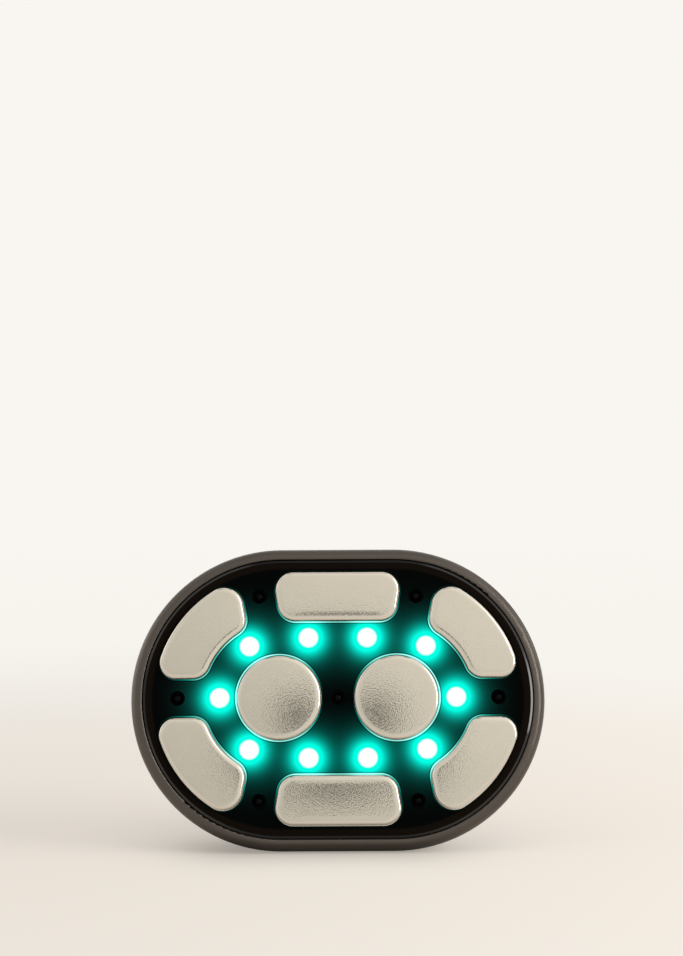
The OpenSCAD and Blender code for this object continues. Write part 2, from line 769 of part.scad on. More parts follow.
// Cap of a bar or corner electrode, its edge rounded in steps
module shaped_electrode_cap(i) {
    EDGE_STEPS = 3;
    shoulder = electrode_proud - electrode_edge;
    translate([0, 0, flange_back]) linear_extrude(flange_t) electrode_outline(i, flange_w);
    translate([0, 0, flange_back + eps]) linear_extrude(shoulder - flange_back - eps)
        electrode_outline(i, 0);
    for (k = [1:EDGE_STEPS]) {
        layer_z = shoulder - k * eps;
        inset = electrode_edge * (1 - cos(90 * (k - 0.5) / EDGE_STEPS));
        translate([0, 0, layer_z])
            linear_extrude(shoulder + electrode_edge * sin(90 * k / EDGE_STEPS) - layer_z)
                electrode_outline(i, -inset);
    }
}

// Profile of the rear housing, moved inwards by an inset, up to a front height
module tub_profile(inset, top) {
    corner_r = back_round_r - inset;
    flank_end = round_mid + corner_r * outward;
    dome_end = round_mid + corner_r * dome_dir;
    polygon([[0, top], [flank_r(top, inset), top], flank_end, round_mid, [0, round_mid[1]]]);
    translate(round_mid) circle(corner_r);
    intersection() {
        translate(dome_mid) circle(back_dome_r - inset, $fn = DOME_FN);
        polygon([
            [0, round_mid[1] + eps], round_mid + [0, eps], dome_end,
            [dome_end[0], -beyond], [0, -beyond]
        ]);
    }
}

// Rounded slot of the charging socket, grown by a margin, along X between two places
module socket_slot(margin, x0, x1) {
    translate([x0, 0, socket_z]) rotate([90, 0, 90]) linear_extrude(x1 - x0)
        racetrack_outline((socket_w - socket_h) / 2, socket_h / 2 + margin);
}

// Posts that stand on the back of the housing
module housing_posts(points, top) {
    for (p = points) pegs([p], post_r, foot_z(p, post_r), top);
}

// Screw boss with a web to the flank
module housing_boss(p) {
    middle = [sign(p[0]) * half_straight, 0];
    away = norm(p - middle);
    bottom = ledge_z - boss_depth;
    top = ledge_z - ledge_t - web_drop;
    pegs([p], boss_r, bottom, ledge_z);
    translate(middle) rotate([0, 0, atan2(p[1], p[0] - middle[0])]) rotate([90, 0, 0])
        translate([0, 0, -web_t / 2]) linear_extrude(web_t)
            polygon([
                [away, bottom], [flank_r(bottom, wall_t / 2), bottom],
                [flank_r(top, wall_t / 2), top], [away, top]
            ]);
}

// Ribs with a round seat that carry the motor in its boot
module motor_cradle() {
    reach = motor_r + boot_t + cradle_lip;
    for (y = CRADLE_Y) translate([0, y + rib_t / 2, 0]) rotate([90, 0, 0]) linear_extrude(rib_t)
        difference() {
            intersection() {
                translate([-half_straight, 0]) mirror([1, 0]) tub_profile(wall_t / 2, motor_z);
                translate([-motor_x - reach, -body_depth]) square([2 * reach, body_depth + motor_z]);
            }
            translate([-motor_x, motor_z]) circle(motor_r + boot_t + running_clear);
        }
}

// Rails under the battery tray
module tray_rails() {
    for (side = [-1, 1], row = [-1, 1])
        block([side * (RAIL_X[0] + RAIL_X[1]) / 2, row * rail_y], [RAIL_X[1] - RAIL_X[0], rib_t],
            foot_z([RAIL_X[1], rail_y], rib_t / 2), tray_back);
}

// Thick pad round the recess of the control panel, with the posts of the key board
module panel_pad() {
    pad_r = panel_r + wall_t;
    racetrack_plate(panel_half, pad_r, foot_z([half_straight, pad_r], 0), pad_top);
    pegs(key_posts, post_r, pad_top - wall_t / 2, key_board_back);
}

// Rear housing: a drafted tub with a domed back, bosses inside and a panel recess outside
module rear_housing() {
    color(SATIN_BLACK) difference() {
        union() {
            racetrack(half_straight) difference() {
                tub_profile(0, seam_z);
                tub_profile(wall_t, seam_z + over);
                translate([seal_mid - seal_w / 2 - running_clear, seam_z - seal_w])
                    square([seal_w + 2 * running_clear, 2 * seal_w]);
            }
            for (p = boss_points) housing_boss(p);
            housing_posts(main_posts, main_back);
            housing_posts(tray_posts, tray_back);
            housing_posts(charge_posts, charge_top - charge_t);
            tray_rails();
            motor_cradle();
            panel_pad();
        }
        pegs(boss_points, screw_r + running_clear, ledge_z - boss_depth + boss_floor, ledge_z + over);
        small_bores(main_posts, main_back);
        small_bores(tray_posts, tray_back);
        small_bores(charge_posts, charge_top - charge_t);
        small_bores(key_posts, key_board_back);
        socket_slot(bore_clear, charge_x1, 2 * girth_r);
        racetrack_plate(panel_half, panel_r + panel_gap, -beyond, recess_floor);
        pegs(key_points, key_hole_r, -beyond, pad_top + over);
        window_bar(window_l + 2 * bore_clear, window_w + 2 * bore_clear, -beyond, pad_top + over);
    }
}

// Blind bores for board screws that run down from a height
module small_bores(points, top) {
    pegs(points, small_screw_r + running_clear, top - small_screw_l + bore_clear, top + over);
}

// Blind bores for board screws that run up from a height
module small_bores_up(points, bottom) {
    pegs(points, small_screw_r + running_clear, bottom - over,
        bottom + small_screw_l - lamp_board_t + bore_clear);
}

// Front bezel: a rounded bead with a ledge that reaches into the housing
module front_bezel() {
    skirt_z = ledge_z - ledge_t;
    skirt_r = flank_r(skirt_z, wall_t) - seat_clear;
    side_mid = [side_r0, -girth_back];
    outer_mid = [bead_x, rim_proud - outer_bead_r];
    tangent = side_mid + rim_side_r * (outer_mid - side_mid) / norm(outer_mid - side_mid);
    color(GLOSS_BLACK) difference() {
        racetrack(half_straight) {
            translate([bead_x, rim_proud - rim_bead_r]) circle(rim_bead_r);
            intersection() {
                translate(outer_mid) circle(outer_bead_r);
                translate([bead_x, seam_z]) square([2 * rim_w, rim_proud - seam_z + over]);
            }
            intersection() {
                translate(side_mid) circle(rim_side_r);
                polygon([
                    [bead_x, seam_z], [seam_r - seam_groove, seam_z], [seam_r, seam_z + seam_groove],
                    [2 * girth_r, seam_z + seam_groove], [2 * girth_r, tangent[1]], tangent, outer_mid,
                    [bead_x, outer_mid[1]]
                ]);
            }
            translate([rim_in_r, seam_z])
                square([bead_x - rim_in_r, rim_proud - rim_bead_r - seam_z]);
            translate([rim_in_r, skirt_z]) square([skirt_r - rim_in_r, seam_z - skirt_z + over]);
            translate([ledge_in_r, skirt_z]) square([ledge_w + eps, ledge_t]);
        }
        pegs(boss_points, boss_r + bore_clear, skirt_z - over, ledge_z + over);
    }
}

// Seal cord between bezel and housing
module shell_seal() {
    color(RUBBER) racetrack(half_straight)
        translate([seal_mid - seal_w / 2, seam_z - seal_w]) square(seal_w);
}

// Smoked plate with the electrode cut-outs and emitter recesses
module faceplate() {
    color(SMOKED) difference() {
        racetrack(half_straight)
            polygon([
                [0, plate_back], [plate_r, plate_back], [plate_r, -plate_chamfer],
                [plate_r - plate_chamfer, 0], [0, 0]
            ]);
        translate([0, 0, plate_back - over]) linear_extrude(plate_t + 2 * over) {
            for (i = [0:7]) electrode_outline(i, electrode_clear);
            for (p = ir_points) translate(p) circle(ir_recess_r);
        }
    }
}

// Bonding sheet between plate and carrier
module faceplate_gasket() {
    color(RUBBER) difference() {
        racetrack_plate(half_straight, plate_r - part_gap, carrier_front, plate_back);
        translate([0, 0, carrier_front - over]) linear_extrude(gasket_t + 2 * over) {
            for (i = [0:7]) electrode_outline(i, flange_w / 2);
            for (p = ir_points) translate(p) circle(ir_recess_r);
            for (p = lamp_points) translate(p) circle(lens_r + lens_flange);
        }
    }
}

// Carrier with a pocket for each electrode and a seat for each lamp
module electrode_carrier() {
    below = carrier_back - over;
    color(SATIN_BLACK) difference() {
        union() {
            racetrack_plate(half_straight, plate_r, carrier_back, carrier_front);
            racetrack(half_straight)
                translate([plate_r - carrier_rim_w, ledge_z]) square([carrier_rim_w, carrier_rim_t]);
            pegs(carrier_posts, post_r, lamp_board_front, carrier_back);
            pegs(boss_points, boss_r, ledge_z, carrier_back);
        }
        translate([0, 0, flange_back]) linear_extrude(flange_t + over)
            for (i = [0:7]) electrode_outline(i, flange_w + seat_clear);
        pegs(stud_points, stud_r + seat_clear, below, carrier_front);
        pegs(sensor_points, sensor_r + seat_clear, below, carrier_front);
        pegs(lamp_points, lens_r + seat_clear, below, carrier_front + over);
        pegs(lamp_points, lens_r + lens_flange + seat_clear, below, carrier_back + lens_flange_t);
        pegs(ir_points, ir_r + seat_clear, below, carrier_front + over);
        pegs(ir_points, ir_r + ir_collar + seat_clear, below, carrier_back + ir_collar_t);
        pegs(boss_points, screw_r + bore_clear, ledge_z - over, carrier_front);
        pegs(boss_points, screw_head_r + bore_clear, screw_seat, carrier_front + over);
        small_bores_up(carrier_posts, lamp_board_front);
    }
}

// Leaf contacts between the electrode studs and the lamp board
module electrode_contacts() {
    color(COPPER) for (p = stud_points) translate([p[0], p[1], lamp_board_front]) {
        block([0, 0], [leaf_l, leaf_w], 0, leaf_t);
        block([0, 0], [leaf_l, leaf_w], leaf_h - leaf_t, leaf_h);
        block([leaf_l / 2 - leaf_t / 2, 0], [leaf_t, leaf_w], 0, leaf_h);
    }
}

// Temperature sensors behind the round electrodes, with their leads
module temperature_sensors() {
    foot = carrier_back + part_gap;
    color(WHITE) {
        pegs(sensor_points, sensor_r, foot, flange_back);
        pegs(lead_pairs(sensor_points), lead_r, lamp_board_front, foot);
    }
}

// Frosted lenses in front of the lamp chips
module led_lenses() {
    color(TEAL) {
        pegs(lamp_points, lens_r, carrier_back + lens_flange_t / 2, plate_back - running_clear);
        pegs(lamp_points, lens_r + lens_flange, carrier_back, carrier_back + lens_flange_t);
    }
}

// Lamp chips on the lamp board
module led_chips() {
    color(WHITE) for (p = lamp_points)
        block(p, [chip_w, chip_w], lamp_board_front, lamp_board_front + chip_h);
}

// Infrared emitters with domed tips and two leads each
module ir_emitters() {
    dome_z = -ir_sink - ir_r;
    color(DARK_LENS) {
        for (p = ir_points) translate(p) rotate_extrude() {
            translate([0, carrier_back]) square([ir_r + ir_collar, ir_collar_t]);
            translate([0, carrier_back]) square([ir_r, dome_z - carrier_back]);
            intersection() {
                translate([0, dome_z]) circle(ir_r);
                translate([0, dome_z - eps]) square(2 * ir_r);
            }
        }
        pegs(lead_pairs(ir_points), lead_r, lamp_board_back - 2 * part_gap, carrier_back + eps);
    }
}

// Lamp board behind the carrier
module led_board() {
    z0 = lamp_board_back - over;
    z1 = lamp_board_front + over;
    color(BOARD_GREEN) difference() {
        racetrack_plate(half_straight, lamp_board_r, lamp_board_back, lamp_board_front);
        pegs(boss_points, boss_r + 2 * bore_clear, z0, z1);
        pegs(carrier_posts, small_screw_r + bore_clear, z0, z1);
        pegs(lead_pairs(ir_points), lead_r + seat_clear, z0, z1);
    }
}

// Pan head screw pointing to -Z, seated at a height
module screw(p, seat, r, l, head_r, head_h) {
    DRIVE_SHARE = 0.45;
    translate([p[0], p[1], seat]) rotate_extrude() difference() {
        union() {
            translate([0, -l]) square([r, l + eps]);
            square([head_r, head_h]);
        }
        translate([0, head_h - drive_depth]) square([DRIVE_SHARE * head_r, 2 * drive_depth]);
    }
}

// Screws that clamp carrier, bezel and housing
module housing_screws() {
    color(STEEL) for (p = boss_points)
        screw(p, screw_seat, screw_r, screw_l, screw_head_r, screw_head_h);
}

// Screws of the boards and of the battery tray
module board_screws() {
    color(STEEL) {
        for (p = main_posts) small_screw(p, main_front);
        for (p = tray_posts) small_screw(p, tray_top);
        for (p = charge_posts) small_screw(p, charge_top);
        for (p = key_posts) small_screw(p, key_board_front);
        for (p = carrier_posts) mirror([0, 0, 1]) small_screw(p, -lamp_board_back);
    }
}

// One board screw seated at a height
module small_screw(p, seat) {
    screw(p, seat, small_screw_r, small_screw_l, small_head_r, small_head_h);
}

// Main board
module main_board() {
    color(BOARD_GREEN) difference() {
        racetrack_plate(half_straight, main_board_r, main_back, main_front);
        pegs(main_posts, small_screw_r + bore_clear, main_back - over, main_front + over);
    }
}

// Block in each of the two windows of the transformer core, smaller by a gap all round
module core_windows(gap, z0, z1) {
    w = (transformer_l - 3 * limb_w) / 2;
    for (side = [-1, 1])
        block([side * (limb_w + w) / 2 - transformer_x, 0],
            [w - 2 * gap, transformer_w - 2 * limb_w - 2 * gap], z0, z1);
}

// Ferrite core of the output transformer, two windows and a middle limb
module transformer_core() {
    color(FERRITE) difference() {
        block([-transformer_x, 0], [transformer_l, transformer_w], main_back - transformer_h, main_back);
        core_windows(0, main_back - transformer_h - over, main_back + over);
    }
}

// Winding round the middle limb
module transformer_coil() {
    color(COPPER) core_windows(bore_clear, main_back - transformer_h + 2 * part_gap, main_back - part_gap);
}

// Ring inductor of the output filter
module output_inductor() {
    color(COPPER) translate([inductor_x, inductor_y, main_back - inductor_h]) rotate_extrude()
        difference() {
            translate([inductor_hole_r, 0]) square([inductor_r - inductor_hole_r, inductor_h]);
            translate([inductor_hole_r, 0]) circle(inductor_hole_r / 4);
        }
}

// Filter capacitors on the front of the main board
module filter_capacitors() {
    foot_w = 2 * capacitor_r + part_gap;
    color(FOIL) for (k = [-1:1]) translate([capacitor_x, k * capacitor_pitch, main_front]) {
        block([0, 0], [foot_w, foot_w], 0, capacitor_foot_t);
        cylinder(r = capacitor_r, h = capacitor_h);
    }
}

// Output transistors under the heat sink
module power_transistors() {
    color(RUBBER) for (k = [-1.5:1.5])
        block([k * transistor_pitch, power_y], [transistor_w, transistor_w],
            main_front, main_front + transistor_h);
}

// Finned heat sink on the transistors
module heat_sink() {
    base = main_front + transistor_h;
    fins = floor((sink_w - fin_t) / fin_pitch);
    color(FOIL) {
        block([0, power_y], [sink_l, sink_w], base, base + sink_base_t);
        for (k = [0:fins])
            block([0, power_y + (k - fins / 2) * fin_pitch], [sink_l, fin_t],
                base + sink_base_t - eps, base + sink_h);
    }
}

// Controller chip
module controller_chip() {
    color(RUBBER) block([controller_x, -controller_y], [controller_w, controller_w],
        main_front, main_front + controller_h);
}

// Sounder
module buzzer() {
    color(RUBBER) translate([-buzzer_x, -buzzer_y, main_front]) difference() {
        cylinder(r = buzzer_r, h = buzzer_h);
        translate([0, 0, buzzer_h - over]) cylinder(r = buzzer_hole_r, h = 2 * over);
    }
}

// Ribbon sockets on the boards
module board_connectors() {
    wide = [ribbon_w + 2 * connector_side, connector_w];
    narrow = [ribbon_w, connector_w];
    lamp_side = [-ribbon_x, -connector_side - connector_w / 2];
    color(WHITE) {
        block(lamp_side, wide, lamp_board_back - connector_h, lamp_board_back);
        block(lamp_side, wide, main_front, main_front + connector_h);
        block([0, key_ribbon_y - connector_w / 2], narrow, main_back - connector_h, main_back);
        block([0, connector_w / 2 + connector_side], narrow, key_board_front, key_board_front + connector_h);
    }
}

// Ribbon from the lamp board round to the main board
module electrode_ribbon() {
    z0 = main_front + connector_h / 2;
    z1 = lamp_board_back - connector_h / 2;
    bend = (z1 - z0) / 2;
    run = 2 * connector_side;
    color(FLEX) translate([-ribbon_x - ribbon_w / 2, -connector_side, z0]) rotate([90, 0, 90])
        linear_extrude(ribbon_w) {
            for (z = [0, z1 - z0 - ribbon_t]) translate([0, z]) square([run, ribbon_t]);
            translate([run, bend]) intersection() {
                difference() {
                    circle(bend);
                    circle(bend - ribbon_t);
                }
                translate([-eps, -bend]) square([bend + eps, 2 * bend]);
            }
        }
}

// Ribbon from the key board past the battery to the main board
module key_ribbon() {
    w = ribbon_w - 2 * connector_side;
    y0 = connector_w + connector_side;
    z0 = key_board_front + connector_h / 2;
    color(FLEX) translate([-w / 2, 0, 0]) rotate([90, 0, 90]) linear_extrude(w) {
        translate([y0, z0]) square([key_ribbon_y - y0 + ribbon_t, ribbon_t]);
        translate([key_ribbon_y, z0]) square([ribbon_t, main_back - connector_h / 2 - z0]);
    }
}

// Wires of the battery, the motor and the charging board, soldered to the main board
module wire_harness() {
    lead_x = tray_x + wire_r + 2 * bore_clear;
    battery_z = (cell_back + cell_front) / 2 + wire_r;
    motor_y = motor_y0 - weight_gap;
    color(WIRE_RED) {
        for (y = [-battery_wire_y, battery_wire_y]) {
            translate([cell_l / 2, y, battery_z]) rotate([0, 90, 0])
                cylinder(r = wire_r, h = lead_x - cell_l / 2);
            translate([lead_x, y, battery_z]) sphere(wire_r);
            pegs([[lead_x, y]], wire_r, battery_z, main_back);
        }
        for (x = [-motor_x - motor_wire_dx, -motor_x + motor_wire_dx]) {
            translate([x, motor_y, motor_z]) rotate([-90, 0, 0]) cylinder(r = wire_r, h = weight_gap);
            translate([x, motor_y, motor_z]) sphere(wire_r);
            pegs([[x, motor_y]], wire_r, motor_z, main_back);
        }
        pegs([for (y = [-charge_wire_y, charge_wire_y]) [charge_x0 + 2 * wire_r, y]], wire_r,
            charge_top, main_back);
    }
}

// Lithium pouch cell with bevelled long edges
module battery_cell() {
    bevel_w = cell_bevel * sqrt(2);
    color(FOIL) difference() {
        block([0, 0], [cell_l, cell_w], cell_back, cell_front);
        for (row = [-1, 1], z = [cell_back, cell_front])
            translate([0, row * cell_w / 2, z]) rotate([45, 0, 0])
                cube([2 * cell_l, bevel_w, bevel_w], center = true);
    }
}

// Foam tape under the cell
module battery_tape() {
    color(WHITE) block([0, 0], [cell_l - 2 * tape_inset, cell_w - 2 * tape_inset], tray_top, cell_back);
}

// Tray under the cell, screwed down by two ears
module battery_tray() {
    color(RUBBER) difference() {
        union() {
            block([0, 0], [2 * tray_x, 2 * tray_y], tray_back, tray_top + tray_wall_h);
            block([0, 0], [2 * tray_ear_end, tray_ear_w], tray_back, tray_top);
        }
        block([0, 0], [2 * (tray_x - tray_t), 2 * (tray_y - tray_t)], tray_top,
            tray_top + tray_wall_h + over);
        pegs(tray_posts, small_screw_r + bore_clear, tray_back - over, tray_top + over);
    }
}

// Turns a body of revolution about Z into one about the motor shaft
module on_shaft() {
    translate([-motor_x, 0, motor_z]) rotate([-90, 0, 0]) children();
}

// Motor can with its bearing hole
module motor_can() {
    color(STEEL) on_shaft() rotate_extrude() difference() {
        translate([0, motor_y0]) square([motor_r, motor_l]);
        translate([0, motor_y0 + can_t]) square([motor_r - can_t, motor_l - 2 * can_t]);
        translate([0, motor_y0 + can_t]) square([shaft_r + running_clear, motor_l]);
    }
}

// Rubber boot that holds the can in its cradle
module motor_boot() {
    color(RUBBER) on_shaft() rotate_extrude()
        translate([motor_r + bond_clear, motor_y0 + boot_inset])
            square([boot_t - bond_clear, motor_l - 2 * boot_inset]);
}

// Armature and shaft of the motor
module motor_armature() {
    core_y0 = armature_y0 + 2 * armature_gap;
    core_y1 = motor_y1 - can_t - armature_gap;
    color(COPPER) on_shaft() rotate_extrude() {
        translate([0, armature_y0]) square([shaft_r, shaft_end - armature_y0]);
        translate([0, core_y0]) square([motor_r - can_t - armature_gap, core_y1 - core_y0]);
    }
}

// Half-round weight on the motor shaft
module eccentric_weight() {
    color(TUNGSTEN) on_shaft() translate([0, 0, weight_y0]) difference() {
        union() {
            cylinder(r = shaft_r + hub_t, h = weight_l);
            intersection() {
                cylinder(r = weight_r, h = weight_l);
                translate([-weight_r, 0, 0]) cube([2 * weight_r, weight_r, weight_l]);
            }
        }
        translate([0, 0, -over]) cylinder(r = shaft_r + bond_clear, h = weight_l + 2 * over);
    }
}

// Charging socket: a rounded steel shell with a tongue
module charging_socket() {
    inner_x0 = socket_x0 + socket_back_wall;
    color(STEEL) {
        difference() {
            socket_slot(0, socket_x0, socket_tip_x);
            socket_slot(-socket_wall, inner_x0, socket_tip_x + over);
        }
        translate([inner_x0 - eps, -tongue_w / 2, socket_z - tongue_t / 2])
            cube([socket_l - 2 * socket_back_wall, tongue_w, tongue_t]);
    }
}

// Small board that carries the charging socket
module charging_board() {
    color(BOARD_GREEN) difference() {
        block([(charge_x0 + charge_x1) / 2, 0], [charge_l, charge_w], charge_top - charge_t, charge_top);
        pegs(charge_posts, small_screw_r + bore_clear, charge_top - charge_t - over, charge_top + over);
    }
}

// Glossy control panel in the back
module control_panel() {
    below = panel_face - over;
    above = panel_inner + over;
    color(GLOSS_BLACK) difference() {
        racetrack(panel_half)
            polygon([
                [0, panel_inner], [panel_r, panel_inner], [panel_r, panel_face + panel_chamfer],
                [panel_r - panel_chamfer, panel_face], [0, panel_face]
            ]);
        pegs(key_points, key_r + key_clear, below, above);
        window_bar(window_l + 2 * window_clear, window_w + 2 * window_clear, below, above);
    }
}

// Bonding sheet under the control panel
module panel_gasket() {
    below = panel_inner - over;
    above = recess_floor + over;
    color(RUBBER) difference() {
        racetrack_plate(panel_half, panel_r - part_gap, panel_inner, recess_floor);
        pegs(key_points, key_hole_r, below, above);
        window_bar(window_l + 2 * part_gap, window_w + 2 * part_gap, below, above);
    }
}

// Clear window that carries the light of the indicator lamps
module indicator_window() {
    color(WHITE) window_bar(window_l, window_w, panel_face, key_board_back - indicator_h - bore_clear);
}

// Indicator lamps on the key board
module indicator_leds() {
    color(TEAL) for (k = [-2:2])
        block([k * indicator_pitch, window_y], [indicator_l, indicator_w],
            key_board_back - indicator_h, key_board_back);
}

// Key cap with a flange behind the panel and a plunger to its switch
module key(i) {
    flange_top = key_flange_z + key_flange_t;
    color(SATIN_BLACK) translate(key_points[i]) difference() {
        rotate_extrude() polygon([
            [0, key_face], [key_r - key_chamfer, key_face], [key_r, key_face + key_chamfer],
            [key_r, key_flange_z], [key_r + key_flange, key_flange_z], [key_r + key_flange, flange_top],
            [plunger_r, flange_top], [plunger_r, stem_end], [0, stem_end]
        ]);
        key_mark(i);
    }
}

// Sunk mark of a key: a bar, a ring, a dot or a cross
module key_mark(i) {
    z0 = key_face - over;
    z1 = key_face + mark_depth;
    if (i == 0 || i == 3) block([0, 0], [mark_l, mark_w], z0, z1);
    if (i == 1) difference() {
        pegs([[0, 0]], mark_ring_r, z0, z1);
        pegs([[0, 0]], mark_ring_r - mark_w, z0, z1);
    }
    if (i == 2) pegs([[0, 0]], mark_dot_r, z0, z1);
    if (i == 3) block([0, 0], [mark_w, mark_l], z0, z1);
}

// Stem of a key switch, which moves with its key
module switch_stem(i) {
    color(RUBBER) pegs([key_points[i]], stem_r, stem_end, switch_back + stem_depth);
}

// Bodies of the key switches, each with a well that its stem sinks into
module key_switches() {
    well_end = switch_back + stem_depth + key_travel + seat_clear;
    color(STEEL) difference() {
        for (p = key_points) block(p, [switch_w, switch_w], switch_back, key_board_back);
        pegs(key_points, stem_r + running_clear, switch_back - over, well_end);
    }
}

// Board behind the keys
module key_board() {
    color(BOARD_GREEN) difference() {
        block([0, 0], [key_board_l, key_board_w], key_board_back, key_board_front);
        pegs(key_posts, small_screw_r + bore_clear, key_board_back - over, key_board_front + over);
    }
}

place() rear_housing();
place() front_bezel();
place() shell_seal();
place() faceplate();
place() faceplate_gasket();
place() electrode_carrier();
for (i = [0:7]) place() electrode(i);
place() electrode_contacts();
place() temperature_sensors();
place() led_lenses();
place() led_chips();
place() ir_emitters();
place() led_board();
place() housing_screws();
place() board_screws();
place() main_board();
place() transformer_core();
place() transformer_coil();
place() output_inductor();
place() filter_capacitors();
place() power_transistors();
place() heat_sink();
place() controller_chip();
place() buzzer();
place() board_connectors();
place() electrode_ribbon();
place() key_ribbon();
place() wire_harness();
place() battery_cell();
place() battery_tape();
place() battery_tray();
place() motor_can();
place() motor_boot();
place() motor_armature();
place() eccentric_weight();
place() charging_socket();
place() charging_board();
place() control_panel();
place() panel_gasket();
place() indicator_window();
place() indicator_leds();
place() key_board();
place() key_switches();
for (i = [0:3]) place() key(i);
for (i = [0:3]) place() switch_stem(i);
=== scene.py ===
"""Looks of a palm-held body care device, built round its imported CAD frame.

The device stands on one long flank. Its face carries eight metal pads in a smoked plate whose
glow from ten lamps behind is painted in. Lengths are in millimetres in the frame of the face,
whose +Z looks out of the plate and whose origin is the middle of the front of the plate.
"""

import logging  # noqa: E402
import math  # noqa: E402
from collections.abc import Iterable, Mapping, Sequence  # noqa: E402
from dataclasses import dataclass  # noqa: E402
from enum import Enum  # noqa: E402
from functools import reduce  # noqa: E402

import bmesh  # noqa: E402
import bpy  # noqa: E402
from mathutils import Matrix, Vector  # noqa: E402


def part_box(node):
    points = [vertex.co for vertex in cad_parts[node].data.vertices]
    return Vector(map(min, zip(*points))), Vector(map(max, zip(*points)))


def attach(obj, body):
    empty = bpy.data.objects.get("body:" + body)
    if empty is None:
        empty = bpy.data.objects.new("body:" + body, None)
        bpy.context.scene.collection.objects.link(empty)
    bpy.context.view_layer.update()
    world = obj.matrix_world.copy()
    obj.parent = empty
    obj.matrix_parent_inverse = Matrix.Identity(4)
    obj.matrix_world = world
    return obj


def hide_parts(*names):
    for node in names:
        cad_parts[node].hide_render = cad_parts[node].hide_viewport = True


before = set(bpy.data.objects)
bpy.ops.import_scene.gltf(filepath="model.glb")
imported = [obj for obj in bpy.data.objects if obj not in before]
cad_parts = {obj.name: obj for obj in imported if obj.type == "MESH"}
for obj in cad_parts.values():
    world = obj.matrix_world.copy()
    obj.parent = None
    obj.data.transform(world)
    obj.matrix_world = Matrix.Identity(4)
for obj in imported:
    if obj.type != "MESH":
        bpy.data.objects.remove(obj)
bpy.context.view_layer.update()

LOG = logging.getLogger("device")
Colour = tuple[float, float, float]
Point = tuple[float, float]
Triple = tuple[float, float, float]

LEAN = math.radians(12)
MM = 0.001
NORMAL = Vector((0, -math.cos(LEAN), math.sin(LEAN)))
TURN = Matrix.Rotation(math.pi / 2 - LEAN, 4, "X")
BLACK, WHITE = (0, 0, 0), (1, 1, 1)
BOTH = (-1, 1)


def srgb(red: float, green: float, blue: float) -> Colour:
    """Linear colour of an 8-bit display colour.

    Args:
        red: Red from 0 to 255.
        green: Green from 0 to 255.
        blue: Blue from 0 to 255.

    Returns:
        The same colour as linear values.
    """
    shares = (value / 255 for value in (red, green, blue))
    low, high = (lambda s: s / 12.92), (lambda s: ((s + 0.055) / 1.055) ** 2.4)
    return tuple(low(s) if s <= 0.04045 else high(s) for s in shares)


def face_origin() -> Vector:
    """Middle of the front of the plate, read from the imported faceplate, in metres."""
    low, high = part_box("faceplate")
    return (low + high) / 2 + NORMAL * Plate.thickness / 2 * MM


class Value:
    """A socket of a node graph. Arithmetic on it adds Math nodes.

    Args:
        graph: The graph that the socket belongs to.
        socket: The output socket.
    """

    def __init__(self, graph: "Graph", socket: bpy.types.NodeSocket) -> None:
        """Keeps the graph and the socket."""
        self.graph = graph
        self.socket = socket

    def math(self, operation: str, *others: "Value | float") -> "Value":
        """Result of a Math node on this value.

        Args:
            operation: The Math node's operation.
            others: Its other operands.

        Returns:
            The node's output.
        """
        inputs = dict(enumerate((self, *others)))
        return self.graph.add("ShaderNodeMath", {"operation": operation}, inputs)

    def __add__(self, other: "Value | float") -> "Value":
        """Sum."""
        return self.math("ADD", other)

    def __sub__(self, other: "Value | float") -> "Value":
        """Difference."""
        return self.math("SUBTRACT", other)

    def __rsub__(self, other: float) -> "Value":
        """Difference from a number."""
        return self.math("MULTIPLY_ADD", -1.0, other)

    def __mul__(self, other: "Value | float") -> "Value":
        """Product."""
        return self.math("MULTIPLY", other)

    __radd__ = __add__
    __rmul__ = __mul__

    def swing(self, share: float) -> "Value":
        """A share of how far a value from 0 to 1 is from its middle."""
        return (self - 0.5) * share

    def blend(self, other: "Value", share: float = 0.5) -> "Value":
        """Mean of this value and another one, which weighs a share."""
        return self * (1 - share) + other * share

    def size(self) -> "Value":
        """Absolute value."""
        return self.math("ABSOLUTE")

    def decay(self, rate: float) -> "Value":
        """Exponential fall of this value at a rate."""
        return (self * -rate).math("EXPONENT")

    def least(self, other: "Value | float") -> "Value":
        """The smaller of two values."""
        return self.math("MINIMUM", other)

    def most(self, other: "Value | float") -> "Value":
        """The larger of two values."""
        return self.math("MAXIMUM", other)

    def ramp(self, start: float, end: float) -> "Value":
        """Smooth step of this value.

        Args:
            start: The value that gives 0.
            end: The value that gives 1, which may be the smaller one.

        Returns:
            A value from 0 to 1.
        """
        falling = start > end
        inputs = {"Value": self, "From Min": min(start, end), "From Max": max(start, end)}
        settings = {"interpolation_type": "SMOOTHSTEP"}
        step = self.graph.add("ShaderNodeMapRange", settings, inputs)
        return 1 - step if falling else step

    def band(self, low: float, high: float, soft: float) -> "Value":
        """Mask that is 1 between two values and falls off softly outside them."""
        return self.ramp(low - soft, low) * self.ramp(high + soft, high)

    def axes(self) -> "tuple[Value, Value, Value]":
        """The three parts of a vector."""
        split = self.graph.add("ShaderNodeSeparateXYZ", {}, {0: self}).socket.node
        return tuple(Value(self.graph, socket) for socket in split.outputs)


def total(values: Iterable[Value]) -> Value:
    """Sum of values."""
    return reduce(Value.__add__, values)


@dataclass(frozen=True)
class Pattern:
    """A noise: features per unit of length, octaves of finer noise and their weight."""

    scale: float
    detail: float = 2
    rough: float = 0.5


